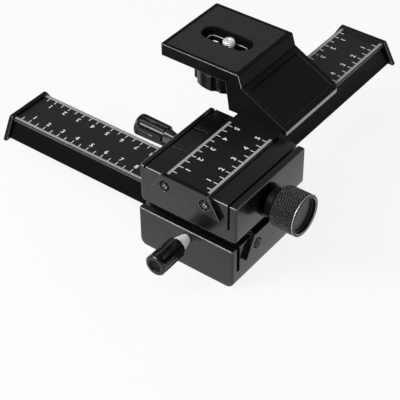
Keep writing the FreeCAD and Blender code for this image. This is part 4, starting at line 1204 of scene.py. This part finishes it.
class FOCUSRAIL_OT_camera_screw(bpy.types.Operator):
    """Cuts the camera screw's thread and finishes its knob and washer"""

    bl_idname = "focusrail.camera_screw"
    bl_label = "Camera screw"

    def execute(self, context):
        edges = context.scene.rail_edges
        colours = context.scene.rail_colours
        plated = scaled(colours.zinc, 0.85)
        zinc = metal_finish("camera_screw_zinc", plated, 0.3, metallic=0.3)
        plastic = moulding_finish("camera_knob_plastic", colours.moulding)
        self.screw(edges, zinc)
        dressed("camera_screw_knob", edges.knob, (plastic,), corner=MOULDED_CORNER)
        steel = metal_finish("washer_steel", colours.steel, 0.3)
        dressed("camera_screw_washer", edges.screw, (steel,), 1)
        return {"FINISHED"}

    def screw(self, edges, zinc):
        """The screw with a centre mark in its tip, and its thread cut by a coil."""
        low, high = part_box("camera_screw")
        axis = (low + high) / 2
        radius = (high.x - low.x) / 2
        tip = high.z - SLACK
        ring, pit, pit_depth = radius * 0.42, radius * 0.1, radius * 0.12
        piece = merged_copy("camera_screw")
        edit(piece)
        pick(piece, "faces", lambda face: all(v.co.z > tip for v in face.verts))
        bpy.ops.mesh.inset(thickness=ring, depth=0)
        bpy.ops.mesh.inset(thickness=pit, depth=-pit_depth)
        leave_edit()
        coat(piece, zinc)
        coil = self.coil(edges, radius)
        foot = (axis.x, axis.y, high.z - edges.thread_length)
        coil.data.transform(Matrix.Translation(foot))
        modified(piece, "BOOLEAN", operation="DIFFERENCE", solver="EXACT", object=coil)
        discard(coil)
        smooth(piece, 35)
        shown_for(piece, "camera_screw")

    @staticmethod
    def coil(edges, radius):
        """A three-sided coil wound up the Z axis, its inner edge at the thread's root."""
        outside = radius + 0.15 * MM
        root = radius - edges.thread_depth
        half = edges.thread_pitch * 0.45
        steps = 24
        coil = added(bpy.ops.mesh.primitive_circle_add, "coil", vertices=3, radius=radius)
        settle(coil)
        corners = ((root, 0, 0), (outside, 0, half), (outside, 0, -half))
        for vertex, corner in zip(coil.data.vertices, corners):
            vertex.co = corner
        modified(
            coil,
            "SCREW",
            axis="Z",
            steps=steps,
            render_steps=steps,
            screw_offset=edges.thread_pitch,
            iterations=math.ceil(edges.thread_length / edges.thread_pitch),
        )
        edit(coil)
        bpy.ops.mesh.select_all(action="SELECT")
        bpy.ops.mesh.fill_holes(sides=3)
        face_outwards()
        leave_edit()
        return coil


class FOCUSRAIL_OT_hardware(bpy.types.Operator):
    """Finishes the screws and the pieces inside"""

    bl_idname = "focusrail.hardware"
    bl_label = "Screws and inner pieces"

    def execute(self, context):
        edges = context.scene.rail_edges
        colours = context.scene.rail_colours
        black = metal_finish("black_screws", colours.black_screw, 0.16)
        pale_finish = metal_finish("bare_recess", colours.recess, 0.32)
        for node, along in (("lower_plate_screws", 0), ("upper_plate_screws", 1)):
            rims, recesses = self.heads(node, along)
            rounds = [(rims, edges.head)]
            dressed(node, edges.screw, (black, pale_finish), 1, rounds=rounds, patches=[recesses])
        paint_nodes(("bracket_screws", "lower_knob_grub", "upper_knob_grub"), black)
        paint_nodes(("stage_screws",), metal_finish("screw_steel", colours.steel, 0.22))
        steel = metal_finish("gear_steel", colours.steel, 0.3)
        bronze = metal_finish("bronze_bush", colours.bronze, 0.35)
        # Painted shade: the drive bushes are coloured near black for the shade behind the drive
        # knobs.
        black_bush = metal_finish("black_bush", scaled(colours.black_screw, 0.12), 0.35)
        for stage in ("lower", "upper"):
            paint_nodes((f"{stage}_rack", f"{stage}_pinion_shaft"), steel)
            dressed(f"{stage}_drive_bush", edges.screw, (black_bush,))
        nylon = nylon_finish("clamp_nylon", colours.nylon)
        paint_nodes(("lower_lock_pad", "upper_lock_pad"), nylon)
        paint_nodes(("tripod_bush",), bronze)
        # Painted shade: the spacer is darkened steel, for the shade in the gap between the
        # stages.
        spacer = metal_finish("spacer_metal", scaled(colours.steel, 0.3), 0.4)
        paint_nodes(("stage_spacer",), spacer)
        return {"FINISHED"}

    @staticmethod
    def heads(node, along):
        """Tests for the rims and the cross recesses of four heads, two at each end of a rail."""
        low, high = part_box(node)
        middle = (low + high) / 2
        radius = (high.z - low.z) / 2
        across = 1 - along
        spread = (high[across] - low[across]) / 2 - radius
        rim = radius * 0.95
        recess = radius * 0.65

        def measured(spot):
            """A point's depth below the heads' faces and its distance from the nearest axis."""
            depth = min(spot[along] - low[along], high[along] - spot[along])
            aside = abs(spot[across] - middle[across]) - spread
            return depth, math.hypot(aside, spot.z - middle.z)

        def rims(edge):
            depth, off_axis = measured((edge.verts[0].co + edge.verts[1].co) / 2)
            return depth < SLACK and off_axis > rim

        def recesses(face):
            depth, off_axis = measured(face.center)
            return SLACK < depth < radius and off_axis < recess

        return rims, recesses


class FOCUSRAIL_OT_studio(bpy.types.Operator):
    """Sets the floor, the lamps and the camera"""

    bl_idname = "focusrail.studio"
    bl_label = "Studio"

    def execute(self, context):
        settings = context.scene.rail_stage
        self.floor(settings)
        self.surroundings(context.scene, settings)
        for lamp, watts in zip(LAMPS, (settings.key, settings.top, settings.side)):
            self.lamp(*lamp, watts)
        self.camera(context.scene, settings)
        context.scene.view_settings.view_transform = "Standard"
        return {"FINISHED"}

    @staticmethod
    def floor(settings):
        """A paper floor just under the object, partly plain white to the eye."""
        place = (0, 0, -FLOOR_DROP)
        floor = added(bpy.ops.mesh.primitive_plane_add, "floor", size=FLOOR_SIZE, location=place)
        levels = tuple(settings.floor)
        paper = Finish("floor_paper", Base_Color=levels, Roughness=0.9, Specular_IOR_Level=0.1)
        white = paper.add("ShaderNodeEmission", None, {"Color": (1, 1, 1), "Strength": 1.0})
        lit = Shade(paper, paper.shader.outputs[0])
        values = {0: paper.seen() * settings.floor_glow, 1: lit, 2: white["Emission"]}
        shown = paper.add("ShaderNodeMixShader", None, values)
        paper.feed(paper.existing("OUTPUT_MATERIAL").inputs["Surface"], shown["Shader"])
        coat(floor, paper.material)

    @staticmethod
    def surroundings(scene, settings):
        """Bright near the floor and dark overhead."""
        world = bpy.data.worlds.new("studio")
        scene.world = world
        world.use_nodes = True
        sky = Nodes(world.node_tree)
        direction = sky.add("ShaderNodeTexCoord")["Generated"]
        rise = sky.add("ShaderNodeSeparateXYZ", None, {0: direction})["Z"]
        stops = [(LOW_SKY, settings.low), (HIGH_SKY, settings.high)]
        ramp = sky.add("ShaderNodeValToRGB", {"stops": stops}, {"Fac": rise})
        background = sky.existing("BACKGROUND")
        sky.feed(background.inputs["Color"], ramp["Color"])
        sky.feed(background.inputs["Strength"], 1.0)

    @staticmethod
    def lamp(name, place, size, watts):
        lamp = added(bpy.ops.object.light_add, name, type="AREA", location=place)
        lamp.data.shape = "SQUARE"
        lamp.data.size = size
        lamp.data.energy = watts
        lamp.rotation_mode = "QUATERNION"
        lamp.rotation_quaternion = (AIM - Vector(place)).to_track_quat("-Z", "Y")

    @staticmethod
    def camera(scene, settings):
        turn = Matrix(CAMERA_AXES).transposed().to_4x4()
        camera = added(bpy.ops.object.camera_add, "camera")
        camera.matrix_world = Matrix.Translation(CAMERA_PLACE) @ turn
        camera.data.sensor_width = SENSOR_WIDTH
        camera.data.lens = settings.lens
        camera.data.clip_start = NEAR_CLIP
        scene.camera = camera


OPERATORS = (
    FOCUSRAIL_OT_blocks,
    FOCUSRAIL_OT_rails,
    FOCUSRAIL_OT_bands,
    FOCUSRAIL_OT_scales,
    FOCUSRAIL_OT_bracket,
    FOCUSRAIL_OT_drive_knobs,
    FOCUSRAIL_OT_clamps,
    FOCUSRAIL_OT_camera_screw,
    FOCUSRAIL_OT_hardware,
    FOCUSRAIL_OT_studio,
)


class FOCUSRAIL_PT_steps(bpy.types.Panel):
    """The steps that finish the focusing rail"""

    bl_label = "Focusing Rail"
    bl_idname = "FOCUSRAIL_PT_steps"
    bl_space_type = "VIEW_3D"
    bl_region_type = "UI"
    bl_category = "Focusing Rail"

    def draw(self, context):
        for operator in OPERATORS:
            self.layout.operator(operator.bl_idname)


SETTINGS = {
    "rail_scales": ScaleSizes,
    "rail_knurl": KnurlSizes,
    "rail_edges": EdgeSizes,
    "rail_colours": FinishColours,
    "rail_stage": StageSettings,
}


def register():
    for settings in SETTINGS.values():
        bpy.utils.register_class(settings)
    for name, settings in SETTINGS.items():
        setattr(bpy.types.Scene, name, bpy.props.PointerProperty(type=settings))
    for kind in (*OPERATORS, FOCUSRAIL_PT_steps):
        bpy.utils.register_class(kind)


def unregister():
    for kind in reversed((*OPERATORS, FOCUSRAIL_PT_steps)):
        bpy.utils.unregister_class(kind)
    for name in SETTINGS:
        delattr(bpy.types.Scene, name)
    for settings in reversed(SETTINGS.values()):
        bpy.utils.unregister_class(settings)


def main():
    register()
    for operator in OPERATORS:
        group, action = operator.bl_idname.split(".")
        getattr(getattr(bpy.ops, group), action)()


if __name__ == "__main__":
    main()
